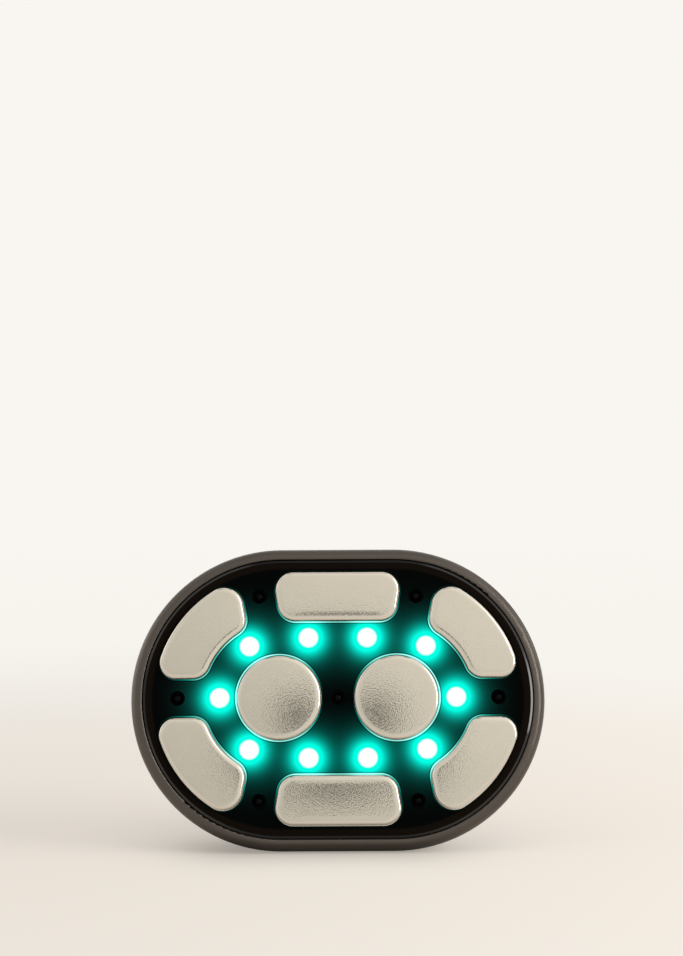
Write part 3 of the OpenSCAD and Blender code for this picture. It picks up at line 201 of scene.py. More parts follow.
class Graph:
    """The node graph of a material or a world.

    Args:
        owner: The material or world, whose old nodes are cleared.
    """

    def __init__(self, owner: bpy.types.Material | bpy.types.World) -> None:
        """Clears the owner's nodes.

        Args:
            owner: The material or world.
        """
        owner.use_nodes = True
        self.tree = owner.node_tree
        self.tree.nodes.clear()

    def add(
        self,
        kind: str,
        settings: Mapping[str, object] | None = None,
        inputs: Mapping[str | int, object] | None = None,
        output: str | int = 0,
    ) -> Value:
        """Adds one node.

        Args:
            kind: The node's type.
            settings: Its own settings, set first.
            inputs: Values, or links, of its sockets by name or number.
            output: The output to return.

        Returns:
            That output.
        """
        node = self.tree.nodes.new(kind)
        for name, setting in (settings or {}).items():
            setattr(node, name, setting)
        for key, given in (inputs or {}).items():
            if isinstance(given, Value):
                self.tree.links.new(given.socket, node.inputs[key])
            elif node.inputs[key].type == "RGBA":
                node.inputs[key].default_value = (*given, 1)
            else:
                node.inputs[key].default_value = given
        return Value(self, node.outputs[output] if node.outputs else None)

    def place(self) -> Value:
        """Object coordinates in the frame of the face.

        Returns:
            The position in millimetres.
        """
        inputs = {
            "Vector": self.add("ShaderNodeTexCoord", output="Object"),
            "Location": -(TURN.inverted() @ face_origin()) / MM,
            "Rotation": (LEAN - math.pi / 2, 0, 0),
            "Scale": (1 / MM, 1 / MM, 1 / MM),
        }
        return self.add("ShaderNodeMapping", {"vector_type": "POINT"}, inputs)

    def stretched(self, vector: Value, scale: Sequence[float]) -> Value:
        """A vector scaled along its three axes."""
        return self.add("ShaderNodeMapping", {}, {"Vector": vector, "Scale": scale})

    def edge(self) -> Value:
        """Distance that the new pieces keep from their outlines, in millimetres."""
        return self.add("ShaderNodeAttribute", {"attribute_name": Outline.LAYER}, {}, "Fac")

    def noise(self, vector: Value, pattern: Pattern) -> Value:
        """A noise from 0 to 1, read at a vector."""
        inputs = {"Scale": pattern.scale, "Detail": pattern.detail, "Roughness": pattern.rough}
        return self.add("ShaderNodeTexNoise", {}, {"Vector": vector, **inputs})

    def cells(self, vector: Value, scale: float) -> Value:
        """Distance to the nearest point of a cell pattern."""
        inputs = {"Vector": vector, "Scale": scale}
        return self.add("ShaderNodeTexVoronoi", {"feature": "F1"}, inputs)

    def mix(
        self, factor: Value | float, first: object, second: object, blend: str = "MIX"
    ) -> Value:
        """Mixes two colours, on the sockets that a Mix node has for them.

        Args:
            factor: Share of the second one.
            first: A colour or a socket.
            second: A colour or a socket.
            blend: How they mix.

        Returns:
            The mixed colour.
        """
        settings = {"data_type": "RGBA", "blend_type": blend}
        return self.add("ShaderNodeMix", settings, {0: factor, 6: first, 7: second}, 2)

    def bump(self, height: Value, depth: float) -> Value:
        """Normal of a bumpy surface whose height of 1 has a depth in millimetres."""
        inputs = {"Height": height, "Distance": depth * MM, "Strength": 1}
        return self.add("ShaderNodeBump", {}, inputs)


@dataclass(frozen=True)
class Finish:
    """Finish of a surface, with the values that are the same all over it.

    The mottle varies the colour by the contrast, and the roughness by the spread. A subclass
    with a depth, in millimetres, also varies the height.
    """

    name: str
    colour: Colour
    roughness: float = 0.5
    metallic: float = 0.0
    ior: float = 1.5
    subsurface: float = 0.0
    glow: float = 0.0
    tint: Colour = (1.0, 1.0, 1.0)
    mottle: Pattern = Pattern(0.3, 3)
    contrast: float = 0.12
    spread: float = 0.1

    def paint(self, graph: Graph, place: Value) -> dict[str, Value]:
        """What varies over the surface: here a slight mottle of colour and roughness.

        Args:
            graph: The material's graph.
            place: Position in the frame of the face, in millimetres.

        Returns:
            Links of the shader's sockets.
        """
        mottle = graph.noise(place, self.mottle)
        return {"Base Color": self.shaded(graph, mottle), "Roughness": self.worn(mottle)}

    def shaded(self, graph: Graph, mask: Value) -> Value:
        """The finish's colour, darker and lighter where a mask is low and high.

        Args:
            graph: The material's graph.
            mask: Value from 0 to 1.

        Returns:
            The colour.
        """
        dark = tuple(c * (1 - self.contrast) for c in self.colour)
        light = tuple(min(1.0, c * (1 + self.contrast)) for c in self.colour)
        return graph.mix(mask, dark, light)

    def worn(self, mask: Value) -> Value:
        """The finish's roughness, lower and higher where a mask is low and high."""
        return self.roughness + mask.swing(self.spread)

    def material(self) -> bpy.types.Material:
        """The material of the finish, made once.

        Returns:
            The material.
        """
        made = bpy.data.materials.get(self.name)
        if made is not None:
            return made
        made = bpy.data.materials.new(self.name)
        graph = Graph(made)
        inputs = {
            "Base Color": self.colour,
            "Roughness": self.roughness,
            "Metallic": self.metallic,
            "IOR": self.ior,
            "Subsurface Weight": self.subsurface,
            "Emission Strength": self.glow,
            "Specular Tint": self.tint,
        }
        inputs.update(self.paint(graph, graph.place()))
        shader = graph.add("ShaderNodeBsdfPrincipled", {}, inputs)
        graph.add("ShaderNodeOutputMaterial", {}, {"Surface": shader})
        return made


@dataclass(frozen=True)
class GlossShell(Finish):
    """Polished moulded plastic with a faint orange peel, wipe marks and specks of dust."""

    mottle: Pattern = Pattern(1.0, 4, 0.6)
    contrast: float = 0.25
    spread: float = 0.08
    stretch: Triple = (0.12, 0.5, 0.3)
    clean: float = 0.4
    peel: Pattern = Pattern(0.7, 1)
    depth: float = 0.003
    speck_scale: float = 0.9
    speck_range: Point = (0.06, 0.02)
    speck_spread: float = 0.15

    def paint(self, graph: Graph, place: Value) -> dict[str, Value]:
        """Wipe marks and specks in the roughness, orange peel in the normal.

        Args:
            graph: The material's graph.
            place: Position in the frame of the face, in millimetres.

        Returns:
            Links of the shader's sockets.
        """
        wiped = graph.noise(graph.stretched(place, self.stretch), self.mottle)
        specks = graph.cells(place, self.speck_scale).ramp(*self.speck_range)
        worn = (wiped - self.clean) * self.spread + specks * self.speck_spread
        return {
            "Base Color": self.shaded(graph, wiped),
            "Roughness": self.roughness + worn,
            "Normal": graph.bump(graph.noise(place, self.peel), self.depth),
        }


@dataclass(frozen=True)
class MouldedShell(Finish):
    """Moulded plastic with a spark-eroded grain."""

    mottle: Pattern = Pattern(0.06, 4, 0.6)
    contrast: float = 0.3
    spread: float = 0.3
    grain: float = 2.6
    grain_detail: Point = (3, 0.6)
    grain_spread: float = 0.1
    depth: float = 0.02

    def paint(self, graph: Graph, place: Value) -> dict[str, Value]:
        """Grain in the normal, handling marks in colour and roughness.

        Args:
            graph: The material's graph.
            place: Position in the frame of the face, in millimetres.

        Returns:
            Links of the shader's sockets.
        """
        fine = graph.noise(place, Pattern(self.grain, *self.grain_detail))
        marks = graph.noise(place, self.mottle)
        return {
            "Base Color": self.shaded(graph, fine.blend(marks)),
            "Roughness": self.worn(marks) + fine.swing(self.grain_spread),
            "Normal": graph.bump(fine, self.depth),
        }


@dataclass(frozen=True)
class SmokedPlate(Finish):
    """Smoked clear plate with the glow of the lamps behind it painted into its emission.

    A light has falls: square millimetres over which it falls by a factor e, and gains. The
    bands and ranges are millimetres from the outlines of the cut-outs.
    """

    mottle: Pattern = Pattern(0.05, 3)
    contrast: float = 0.4
    spread: float = 0.05
    painted_halo: Colour = (0.0, 1.0, 0.78)
    bright: Colour = (0.5, 1.0, 0.96)
    bright_range: Point = (0.1, 1.2)
    lamp_r: float = 2.72
    lamp_blur: Point = (-0.3, 0.35)
    halo_falls: tuple[Point, ...] = ((15.5, 2.4),)
    wide_falls: tuple[Point, ...] = ((52.0, 0.17), (200.0, 0.002))
    line_falls: tuple[Point, ...] = ((62.0, 1.5),)
    line_wide: float = 1.2
    line_limit: float = 1.6
    line_band: Triple = (0.2, 0.42, 0.12)
    recess_band: Triple = (1.0, 1.08, 0.1)
    recess_gain: float = 0.03
    dim_band: Triple = (0.5, 0.85, 0.15)
    dim_share: float = 0.5
    rim_range: Point = (-0.1, 0.15)
    border: Colour = (0.0055, 0.0034, 0.0022)
    border_r: Point = (37.0, 38.0)

    def paint(self, graph: Graph, place: Value) -> dict[str, Value]:
        """Painted glow: lamp discs, their halos, and painted light on the edges of the cut-outs.

        Args:
            graph: The material's graph.
            place: Position in the frame of the face, in millimetres.

        Returns:
            Links of the shader's sockets.
        """
        x, y, _ = place.axes()
        right, up = x.size(), y.size()
        *ring, middle = LAYOUT.lamps()
        squares = [self.square(right, up, point) for point in (*ring, middle)]
        squares.append(self.square(right * -1, up, middle))
        wide = self.light(squares, self.wide_falls)
        edge = graph.edge()
        # Painted shade: the halos dim in a band beside each cut-out and end at its outline.
        shade = (1 - edge.band(*self.dim_band) * self.dim_share) * edge.ramp(*self.rim_range)
        painted_halo = (self.light(squares, self.halo_falls) + wide).least(1.0) * shade
        # Painted light along the edges of the cut-outs, faint round the recesses.
        lit = self.light(squares, self.line_falls) + wide * self.line_wide
        recess = edge.band(*self.recess_band) * self.recess_gain
        line = lit.least(self.line_limit) * (edge.band(*self.line_band) + recess)
        # Painted lamp discs, white over each lamp.
        low, high = ((self.lamp_r + blur) ** 2 for blur in self.lamp_blur)
        disc = reduce(Value.least, squares).ramp(high, low)
        lamps = graph.mix(disc, graph.mix(painted_halo, BLACK, self.painted_halo), WHITE)
        teal = graph.mix(line.ramp(*self.bright_range), self.painted_halo, self.bright)
        edges = graph.mix(line.least(1.0), BLACK, teal)
        haze = graph.noise(place, self.mottle)
        beyond = (right - LAYOUT.half_straight).most(0.0)
        border = (beyond * beyond + y * y).ramp(*(r**2 for r in self.border_r))
        return {
            "Base Color": graph.mix(border, self.shaded(graph, haze), self.border),
            "Roughness": self.worn(haze),
            "Emission Color": graph.mix(1.0, lamps, edges, "ADD"),
        }

    @staticmethod
    def light(squares: Sequence[Value], falls: Sequence[Point]) -> Value:
        """Light of every lamp together.

        Args:
            squares: Squared distance from each lamp.
            falls: Falls and gains of the light.

        Returns:
            The light.
        """
        return total(square.decay(1 / fall) * gain for square in squares for fall, gain in falls)

    @staticmethod
    def square(x: Value, y: Value, point: Point) -> Value:
        """Squared distance from a point in plan."""
        across, along = x - point[0], y - point[1]
        return across * across + along * along


@dataclass(frozen=True)
class BlastedMetal(Finish):
    """Bead-blasted metal inside a polished rounded rim."""

    contrast: float = 0.1
    grain: Pattern = Pattern(2.4, 1)
    grain_share: float = 0.7
    depth: float = 0.0115
    face_range: Point = (0.35, 1.5)
    rim: Colour = (0.70, 0.65, 0.57)
    rim_roughness: float = 0.11
    rim_grain: float = 0.2

    def paint(self, graph: Graph, place: Value) -> dict[str, Value]:
        """Grain and mottle on the face, a polished rim where the edge is near.

        Args:
            graph: The material's graph.
            place: Position in the frame of the face, in millimetres.

        Returns:
            Links of the shader's sockets.
        """
        face = graph.edge().ramp(*self.face_range)
        grain = graph.noise(place, self.grain)
        tone = graph.noise(place, self.mottle).blend(grain, self.grain_share)
        height = grain * (self.rim_grain + face * (1 - self.rim_grain))
        return {
            "Base Color": graph.mix(face, self.rim, self.shaded(graph, tone)),
            "Roughness": self.rim_roughness + face * (self.roughness - self.rim_roughness),
            "Normal": graph.bump(height, self.depth),
        }


@dataclass(frozen=True)
class Circuit(Finish):
    """Solder mask over copper tracks."""

    mottle: Pattern = Pattern(0.5, 2)
    track: Colour = (0.05, 0.16, 0.07)
    track_scale: float = 0.35
    track_w: float = 0.04
    track_range: Point = (0.3, 0.7)
    pad_scale: float = 0.22
    pad_range: Point = (0.22, 0.17)
    depth: float = 0.03

    def paint(self, graph: Graph, place: Value) -> dict[str, Value]:
        """Tracks that run along the board, with round pads.

        Args:
            graph: The material's graph.
            place: Position in the frame of the face, in millimetres.

        Returns:
            Links of the shader's sockets.
        """
        settings = {"offset": 0.37, "squash": 0.6, "squash_frequency": 3}
        colours = {"Color1": BLACK, "Color2": BLACK, "Mortar": WHITE}
        sizes = {"Scale": self.track_scale, "Mortar Size": self.track_w}
        bricks = graph.add("ShaderNodeTexBrick", settings, {"Vector": place, **sizes, **colours})
        pads = graph.cells(place, self.pad_scale).ramp(*self.pad_range)
        raised = bricks.ramp(*self.track_range).most(pads)
        plain = self.shaded(graph, graph.noise(place, self.mottle))
        return {
            "Base Color": graph.mix(raised, plain, self.track),
            "Roughness": self.roughness - raised * self.spread,
            "Normal": graph.bump(raised, self.depth),
        }


@dataclass(frozen=True)
class Drawn(Finish):
    """Metal or film with fine lines along one axis of the face frame."""

    mottle: Pattern = Pattern(1.0, 3, 0.6)
    spread: float = 0.2
    stretch: Triple = (0.1, 3.0, 3.0)
    depth: float = 0.006

    def paint(self, graph: Graph, place: Value) -> dict[str, Value]:
        """Fine lines in colour, roughness and normal.

        Args:
            graph: The material's graph.
            place: Position in the frame of the face, in millimetres.

        Returns:
            Links of the shader's sockets.
        """
        lines = graph.noise(graph.stretched(place, self.stretch), self.mottle)
        return {
            "Base Color": self.shaded(graph, lines),
            "Roughness": self.worn(lines),
            "Normal": graph.bump(lines, self.depth),
        }


@dataclass(frozen=True)
class Banded(Finish):
    """Turns of wire or printed conductors, as even bands along one axis."""

    mottle: Pattern = Pattern(0.8, 2)
    contrast: float = 0.1
    direction: str = "Z"
    pitch: float = 0.5
    wobble: float = 0.05
    band_range: Point = (0.15, 0.5)
    second: Colour = (0.2, 0.08, 0.03)
    depth: float = 0.08

    def paint(self, graph: Graph, place: Value) -> dict[str, Value]:
        """Bands in colour and normal.

        Args:
            graph: The material's graph.
            place: Position in the frame of the face, in millimetres.

        Returns:
            Links of the shader's sockets.
        """
        settings = {"bands_direction": self.direction, "wave_profile": "SIN"}
        scale = math.pi / (10 * self.pitch)  # A wave of scale 1 has 10 / pi bands per unit.
        inputs = {"Vector": place, "Scale": scale, "Distortion": self.wobble}
        bands = graph.add("ShaderNodeTexWave", settings, inputs, "Fac")
        shade = graph.noise(place, self.mottle)
        first = self.shaded(graph, shade)
        return {
            "Base Color": graph.mix(bands.ramp(*self.band_range), self.second, first),
            "Roughness": self.worn(shade),
            "Normal": graph.bump(bands, self.depth),
        }


@dataclass(frozen=True)
class Cellular(Finish):
    """Foam, rubber or foil with a pattern of cells or creases."""

    mottle: Pattern = Pattern(0.15, 4)
    contrast: float = 0.15
    spread: float = 0.15
    scale: float = 2.0
    depth: float = 0.04

    def paint(self, graph: Graph, place: Value) -> dict[str, Value]:
        """Cells in colour and normal.

        Args:
            graph: The material's graph.
            place: Position in the frame of the face, in millimetres.

        Returns:
            Links of the shader's sockets.
        """
        cells, dust = graph.cells(place, self.scale), graph.noise(place, self.mottle)
        return {
            "Base Color": self.shaded(graph, cells.blend(dust)),
            "Roughness": self.worn(dust),
            "Normal": graph.bump(cells, self.depth),
        }


@dataclass(frozen=True)
class MarkedKey(Finish):
    """Soft-touch key cap with a pale mark at the bottom of its sunk sign."""

    contrast: float = 0.2
    grain: Pattern = Pattern(3.5, 2)
    depth: float = 0.012
    mark: Colour = (0.55, 0.56, 0.55)
    face_z: float = -51.4
    floor_range: Point = (0.08, 0.16)
    wall_range: Point = (0.28, 0.24)
    mark_range: Point = (3.6, 3.3)

    def paint(self, graph: Graph, place: Value) -> dict[str, Value]:
        """Paint in the sunk mark, grain elsewhere.

        Args:
            graph: The material's graph.
            place: Position in the frame of the face, in millimetres.

        Returns:
            Links of the shader's sockets.
        """
        _, y, z = place.axes()
        floor, wall = (z.ramp(*(self.face_z + rise for rise in rises))
                       for rises in (self.floor_range, self.wall_range))
        inside = floor * wall * y.size().ramp(*self.mark_range)
        fine = graph.noise(place, self.grain)
        plain = self.shaded(graph, graph.noise(place, self.mottle))
        return {
            "Base Color": graph.mix(inside, plain, self.mark),
            "Roughness": self.worn(fine),
            "Normal": graph.bump(fine, self.depth),
        }


@dataclass(frozen=True)
class LitWindow(Finish):
    """Milky window with the glow of the indicator lamps behind it painted in."""

    mottle: Pattern = Pattern(1.0, 2)
    contrast: float = 0.05
    pitch: float = 3.0
    lamps: int = 5
    fall: float = 1.6
    dim: Colour = (0.01, 0.09, 0.075)
    bright: Colour = (0.25, 1.0, 0.85)

    def paint(self, graph: Graph, place: Value) -> dict[str, Value]:
        """One soft spot of painted glow over each lamp.

        Args:
            graph: The material's graph.
            place: Position in the frame of the face, in millimetres.

        Returns:
            Links of the shader's sockets.
        """
        x, _, _ = place.axes()
        near = x * x
        for k in range(1, self.lamps // 2 + 1):
            for side in BOTH:
                shifted = x - side * k * self.pitch
                near = near.least(shifted * shifted)
        # Painted glow: the emission is brightest over each lamp.
        return {
            "Base Color": self.shaded(graph, graph.noise(place, self.mottle)),
            "Emission Color": graph.mix(near.decay(self.fall), self.dim, self.bright),
        }


class Finishes(Enum):
    """Every finish of the device. That of a packed slot has the slot's name in capitals."""

    BEZEL_BLACK = GlossShell("bezel_gloss", srgb(14, 10, 8), 0.34, ior=1.9, tint=(1.0, 0.88, 0.77))
    HOUSING_BLACK = MouldedShell("housing_grain", srgb(17, 16, 16), 0.36, grain=1.6, depth=0.05)
    # The plate's emission carries the painted glow of its lamps.
    SMOKED_PLATE = SmokedPlate("smoked_plate_lit", (0.0008, 0.0009, 0.0009), 0.06, ior=1.06,
                               glow=1.0)
    PLATE_EDGE = GlossShell("plate_edge_polished", srgb(6, 5, 5), 0.08, ior=1.5)
    ELECTRODE_METAL = BlastedMetal("pad_blasted", (0.605, 0.567, 0.475), 0.06, 1.0)
    LAMP_LENS = Finish("lamp_frosted", (0.75, 0.95, 0.9), 0.6, subsurface=0.2, glow=0.6)
    INFRARED_LENS = GlossShell("dome_dark", srgb(6, 6, 8), 0.12, ior=1.12)
    SEAL_RUBBER = Cellular("seal_rubber_matte", srgb(32, 32, 33), 0.8, scale=4.0, depth=0.01)
    BONDING_FILM = Cellular("bond_film", srgb(20, 20, 20), 0.6, scale=6.0, depth=0.005)
    INNER_BLACK = MouldedShell("inner_grain", srgb(8, 8, 8), 0.6, ior=1.1, depth=0.015)
    PANEL_BLACK = GlossShell("panel_gloss", srgb(7, 7, 8), 0.08, ior=1.4)
    KEY_BLACK = MarkedKey("key_satin", srgb(44, 43, 42), 0.45)
    # The window's emission carries the painted glow of the indicator lamps.
    WINDOW_WHITE = LitWindow("window_milky", (0.3, 0.36, 0.35), 0.3, glow=1.0)
    SPRING_COPPER = Drawn("contact_copper", (0.72, 0.38, 0.2), 0.3, 1.0)
    WHITE_RESIN = MouldedShell("resin_white", srgb(226, 224, 216), 0.5, depth=0.01)
    BOARD_GREEN = Circuit("board_mask", srgb(22, 76, 44), 0.35)
    SCREW_STEEL = Drawn("steel_turned", (0.56, 0.57, 0.58), 0.28, 1.0)
    FERRITE = Cellular("ferrite_dull", srgb(52, 52, 56), 0.7, scale=5.0, depth=0.02)
    WINDING = Banded("winding_copper", (0.62, 0.26, 0.1), 0.35, 0.6, pitch=0.6)
    CELL_FOIL = Cellular("cell_foil_creased", (0.6, 0.61, 0.62), 0.32, 0.9, scale=0.25, depth=0.15)
    CHIP_BLACK = MouldedShell("chip_mould", srgb(28, 28, 30), 0.55, grain=5.0, depth=0.008)
    SINK_ALUMINIUM = Drawn("sink_aluminium", (0.66, 0.67, 0.68), 0.38, 1.0)
    RIBBON_FILM = Banded("ribbon_amber", srgb(176, 106, 32), 0.35, direction="X", pitch=0.5,
                         second=srgb(120, 62, 18))
    WIRE_RED = Drawn("wire_jacket", srgb(176, 48, 40), 0.45, stretch=(2, 2, 0.2))
    FOAM_TAPE = Cellular("foam_open", srgb(215, 214, 208), 0.9, scale=3.0, depth=0.08)
    WEIGHT_METAL = Drawn("weight_sintered", (0.42, 0.39, 0.35), 0.5, 1.0)


NODE_FINISHES = {"transformer_coil": Finishes.WINDING, "output_inductor": Finishes.WINDING}


@dataclass(frozen=True)
class Arc:
    """Run of a circle in an outline. A run that turns clockwise is hollow."""

    centre: Point
    radius: float
    start: float
    end: float

    def grown(self, margin: float) -> float:
        """Radius after the outline has grown by a margin."""
        return self.radius + (margin if self.end > self.start else -margin)


class Outline:
    """Closed outline of arcs, joined by straight lines where they don't meet.

    Args:
        arcs: The arcs, counter-clockwise round the outline.
        step: Greatest angle of a segment, in degrees.
    """

    LAYER = "edge"
    SIDES = ("outward_x", "outward_y")
    TOUCH = 1e-3  # Ends that are closer than this are one point.

    def __init__(self, arcs: Sequence[Arc], step: float = 5) -> None:
        """Keeps the arcs."""
        self.arcs = tuple(arcs)
        self.step = step

    def trace(
        self, mesh: bmesh.types.BMesh, margin: float, z: float, edge: float
    ) -> list[bmesh.types.BMEdge]:
        """Draws the outline at a height and keeps the outward direction on its points.

        Args:
            mesh: The mesh that it is drawn in.
            margin: Distance by which it is grown.
            z: Height in the frame of the face.
            edge: Value of the edge layer on it.

        Returns:
            Its edges.
        """
        layers = [layer_of(mesh, name) for name in (self.LAYER, *self.SIDES)]
        ends, points = [], []
        for arc in self.arcs:
            radius, sign = arc.grown(margin), 1 if arc.end > arc.start else -1
            start = math.radians(arc.start)
            middle = Vector((*arc.centre, z))
            first = mesh.verts.new(middle + Vector((math.cos(start), math.sin(start), 0)) * radius)
            turn = math.radians(arc.end - arc.start)
            steps = max(2, math.ceil(abs(arc.end - arc.start) / self.step))
            known = set(mesh.verts)
            made = bmesh.ops.spin(mesh, geom=[first], cent=middle, axis=(0, 0, 1), angle=turn,
                                  steps=steps)["geom_last"]
            last = next(item for item in made if isinstance(item, bmesh.types.BMVert))
            run = [first, *(vert for vert in mesh.verts if vert not in known)]
            for vert in run:
                outward = (vert.co - middle) * sign / radius
                vert[layers[0]], vert[layers[1]], vert[layers[2]] = edge, outward.x, outward.y
            points += run
            ends.append((first, last))
        for (_, last), (first, _) in zip(ends, ends[1:] + ends[:1]):
            if (last.co - first.co).length > self.TOUCH:
                mesh.edges.new((last, first))
            else:
                points.remove(first)
                bmesh.ops.weld_verts(mesh, targetmap={first: last})
        return list({edge for vert in points for edge in vert.link_edges})

    def shell(
        self, mesh: bmesh.types.BMesh, rings: Sequence[Triple]
    ) -> tuple[list[list[bmesh.types.BMEdge]], list[list[bmesh.types.BMFace]]]:
        """Wall through a row of rings.

        Args:
            mesh: The mesh that it is built in.
            rings: Margin, height and edge value of each ring.

        Returns:
            The edges of each ring, and the faces of each step between two rings.
        """
        loops, steps = [self.trace(mesh, *rings[0])], []
        edge, *sides = (layer_of(mesh, name) for name in (self.LAYER, *self.SIDES))
        for before, (margin, z, value) in zip(rings, rings[1:]):
            made = bmesh.ops.extrude_edge_only(mesh, edges=loops[-1])["geom"]
            verts = {item for item in made if isinstance(item, bmesh.types.BMVert)}
            for vert in verts:
                outward = Vector((vert[sides[0]], vert[sides[1]], 0))
                vert.co += outward * (margin - before[0])
                vert.co.z = z
                vert[edge] = value
            links = {link for vert in verts for link in vert.link_edges}
            loops.append([link for link in links if verts.issuperset(link.verts)])
            steps.append([item for item in made if isinstance(item, bmesh.types.BMFace)])
        return loops, steps


def layer_of(mesh: bmesh.types.BMesh, name: str) -> bmesh.types.BMLayerItem:
    """A float layer on the points of a mesh, made when it isn't there."""
    layers = mesh.verts.layers.float
    return layers.get(name) or layers.new(name)


def circle(centre: Point, radius: float, step: float = 5) -> Outline:
    """Outline of a full circle."""
    return Outline([Arc(centre, radius, 0, 180), Arc(centre, radius, 180, 360)], step)


def racetrack(half: float, radius: float, step: float = 2) -> Outline:
    """Outline of two half circles about points at -half and half along X."""
    return Outline([Arc((half, 0), radius, -90, 90), Arc((-half, 0), radius, 90, 270)], step)


def bearing(start: Sequence[float], end: Sequence[float]) -> float:
    """Direction from one point to another, in degrees."""
    return math.degrees(math.atan2(end[1] - start[1], end[0] - start[0]))


@dataclass(frozen=True)
class Layout:
    """Plan of the face: the pads, the lamps and the emitters between them."""

    half_straight: float = 16.3
    round_x: float = 17.0
    round_r: float = 12.06
    outer_r: float = 36.95
    corner_in_r: float = 22.3
    bar_in_y: float = 22.4
    bar_out_y: float = 36.5
    bar_in_half: float = 16.45
    bar_out_half: float = 18.85
    bar_r: float = 5.0
    corner_side_y: float = 5.75
    corner_slant_x: float = 22.6
    corner_slant: float = 10.5
    corner_r: float = 4.7
    tip_r: float = 5.5
    emitters: tuple[Point, ...] = (
        (0, 0), (-46.5, 0), (46.5, 0),
        (-22.87, 29.6), (22.87, 29.6), (-22.87, -29.6), (22.87, -29.6),
    )
    recess_r: float = 2.3
    lamp_ring_r: float = 17.2
    lamp_angles: Point = (0, 60)
    lamp_mid: Point = (8.5, 17.35)

    def lamps(self) -> list[Point]:
        """Lamps in the quarter where both coordinates are positive.

        Returns:
            Those of the ring round a pad, and last the one nearest the middle.
        """
        turns = [math.radians(angle) for angle in self.lamp_angles]
        ring = [(self.round_x + self.lamp_ring_r * math.cos(turn),
                 self.lamp_ring_r * math.sin(turn)) for turn in turns]
        return [*ring, self.lamp_mid]

    def round_pad(self, side: int) -> Outline:
        """Outline of a round pad at a side, -1 or 1."""
        return circle((side * self.round_x, 0), self.round_r, step=3)

    def bar_pad(self, row: int) -> Outline:
        """Outline of a bar pad.

        Args:
            row: 1 for the one above the middle, -1 for the one below.

        Returns:
            The outline.
        """
        r = self.bar_r
        run = self.bar_out_y - self.bar_in_y
        slope = (self.bar_out_half - self.bar_in_half) / run
        lean = math.degrees(math.atan(slope))
        inset = r / math.cos(math.radians(lean))
        low, high = self.bar_in_y + r, self.bar_out_y - r
        low_x = self.bar_in_half + slope * r - inset
        high_x = self.bar_out_half - slope * r - inset
        arcs = [
            Arc((low_x, low), r, -90, -lean),
            Arc((high_x, high), r, -lean, 90),
            Arc((-high_x, high), r, 90, 180 + lean),
            Arc((-low_x, low), r, 180 + lean, 270),
        ]
        return Outline(arcs if row > 0 else [flipped(arc, 1, -1) for arc in arcs[::-1]])

    def corner_pad(self, side: int, row: int) -> Outline:
        """Outline of a corner pad.

        Args:
            side: 1 for the right, -1 for the left.
            row: 1 for the upper row, -1 for the lower.

        Returns:
            The outline.
        """
        r, hub, ring = self.corner_r, (self.half_straight, 0.0), (self.round_x, 0.0)
        low = self.corner_side_y + r
        outer, inner = self.outer_r - r, self.corner_in_r + r
        lean = math.radians(self.corner_slant)
        right = (hub[0] + math.sqrt(outer**2 - low**2), low)
        bottom = (ring[0] + math.sqrt(inner**2 - low**2), low)
        top = self.on_slant(hub, self.outer_r - self.tip_r, self.tip_r)
        left = self.on_slant(ring, inner, r)
        slant = 180 - math.degrees(lean)
        arcs = [
            Arc(right, r, -90, bearing(hub, right)),
            Arc(hub, self.outer_r, bearing(hub, right), bearing(hub, top)),
            Arc(top, self.tip_r, bearing(hub, top), slant),
            Arc(left, r, slant, bearing(left, ring) + 360),
            Arc(ring, self.corner_in_r, bearing(ring, left), bearing(ring, bottom)),
            Arc(bottom, r, bearing(bottom, ring) + 360, 270),
        ]
        arcs = [flipped(arc, side, row) for arc in arcs]
        return Outline(arcs if side * row > 0 else arcs[::-1], step=4)

    def on_slant(self, centre: Point, radius: float, rounding: float) -> Point:
        """Middle of a corner rounding that touches the slanted side and a circle.

        Args:
            centre: Middle of the circle.
            radius: Distance from it to the middle of the rounding.
            rounding: Radius of the rounding.

        Returns:
            The middle of the rounding.
        """
        lean = math.radians(self.corner_slant)
        along = Vector((math.sin(lean), math.cos(lean)))
        foot = Vector((self.corner_slant_x + rounding / math.cos(lean), 0)) - Vector(centre)
        reach = -foot.dot(along) + math.sqrt(foot.dot(along) ** 2 - foot.length_squared + radius**2)
        return tuple(Vector(centre) + foot + along * reach)


def flipped(arc: Arc, side: int, row: int) -> Arc:
    """An arc mirrored across the axes, run so that the outline stays counter-clockwise.

    Args:
        arc: The arc in the upper right quarter.
        side: -1 to mirror it to the left.
        row: -1 to mirror it downwards.

    Returns:
        The mirrored arc.
    """
    start, end = arc.start, arc.end
    if side < 0:
        start, end = 180 - start, 180 - end
    if row < 0:
        start, end = -start, -end
    if side * row < 0:
        start, end = end, start
    return Arc((side * arc.centre[0], row * arc.centre[1]), arc.radius, start, end)


LAYOUT = Layout()


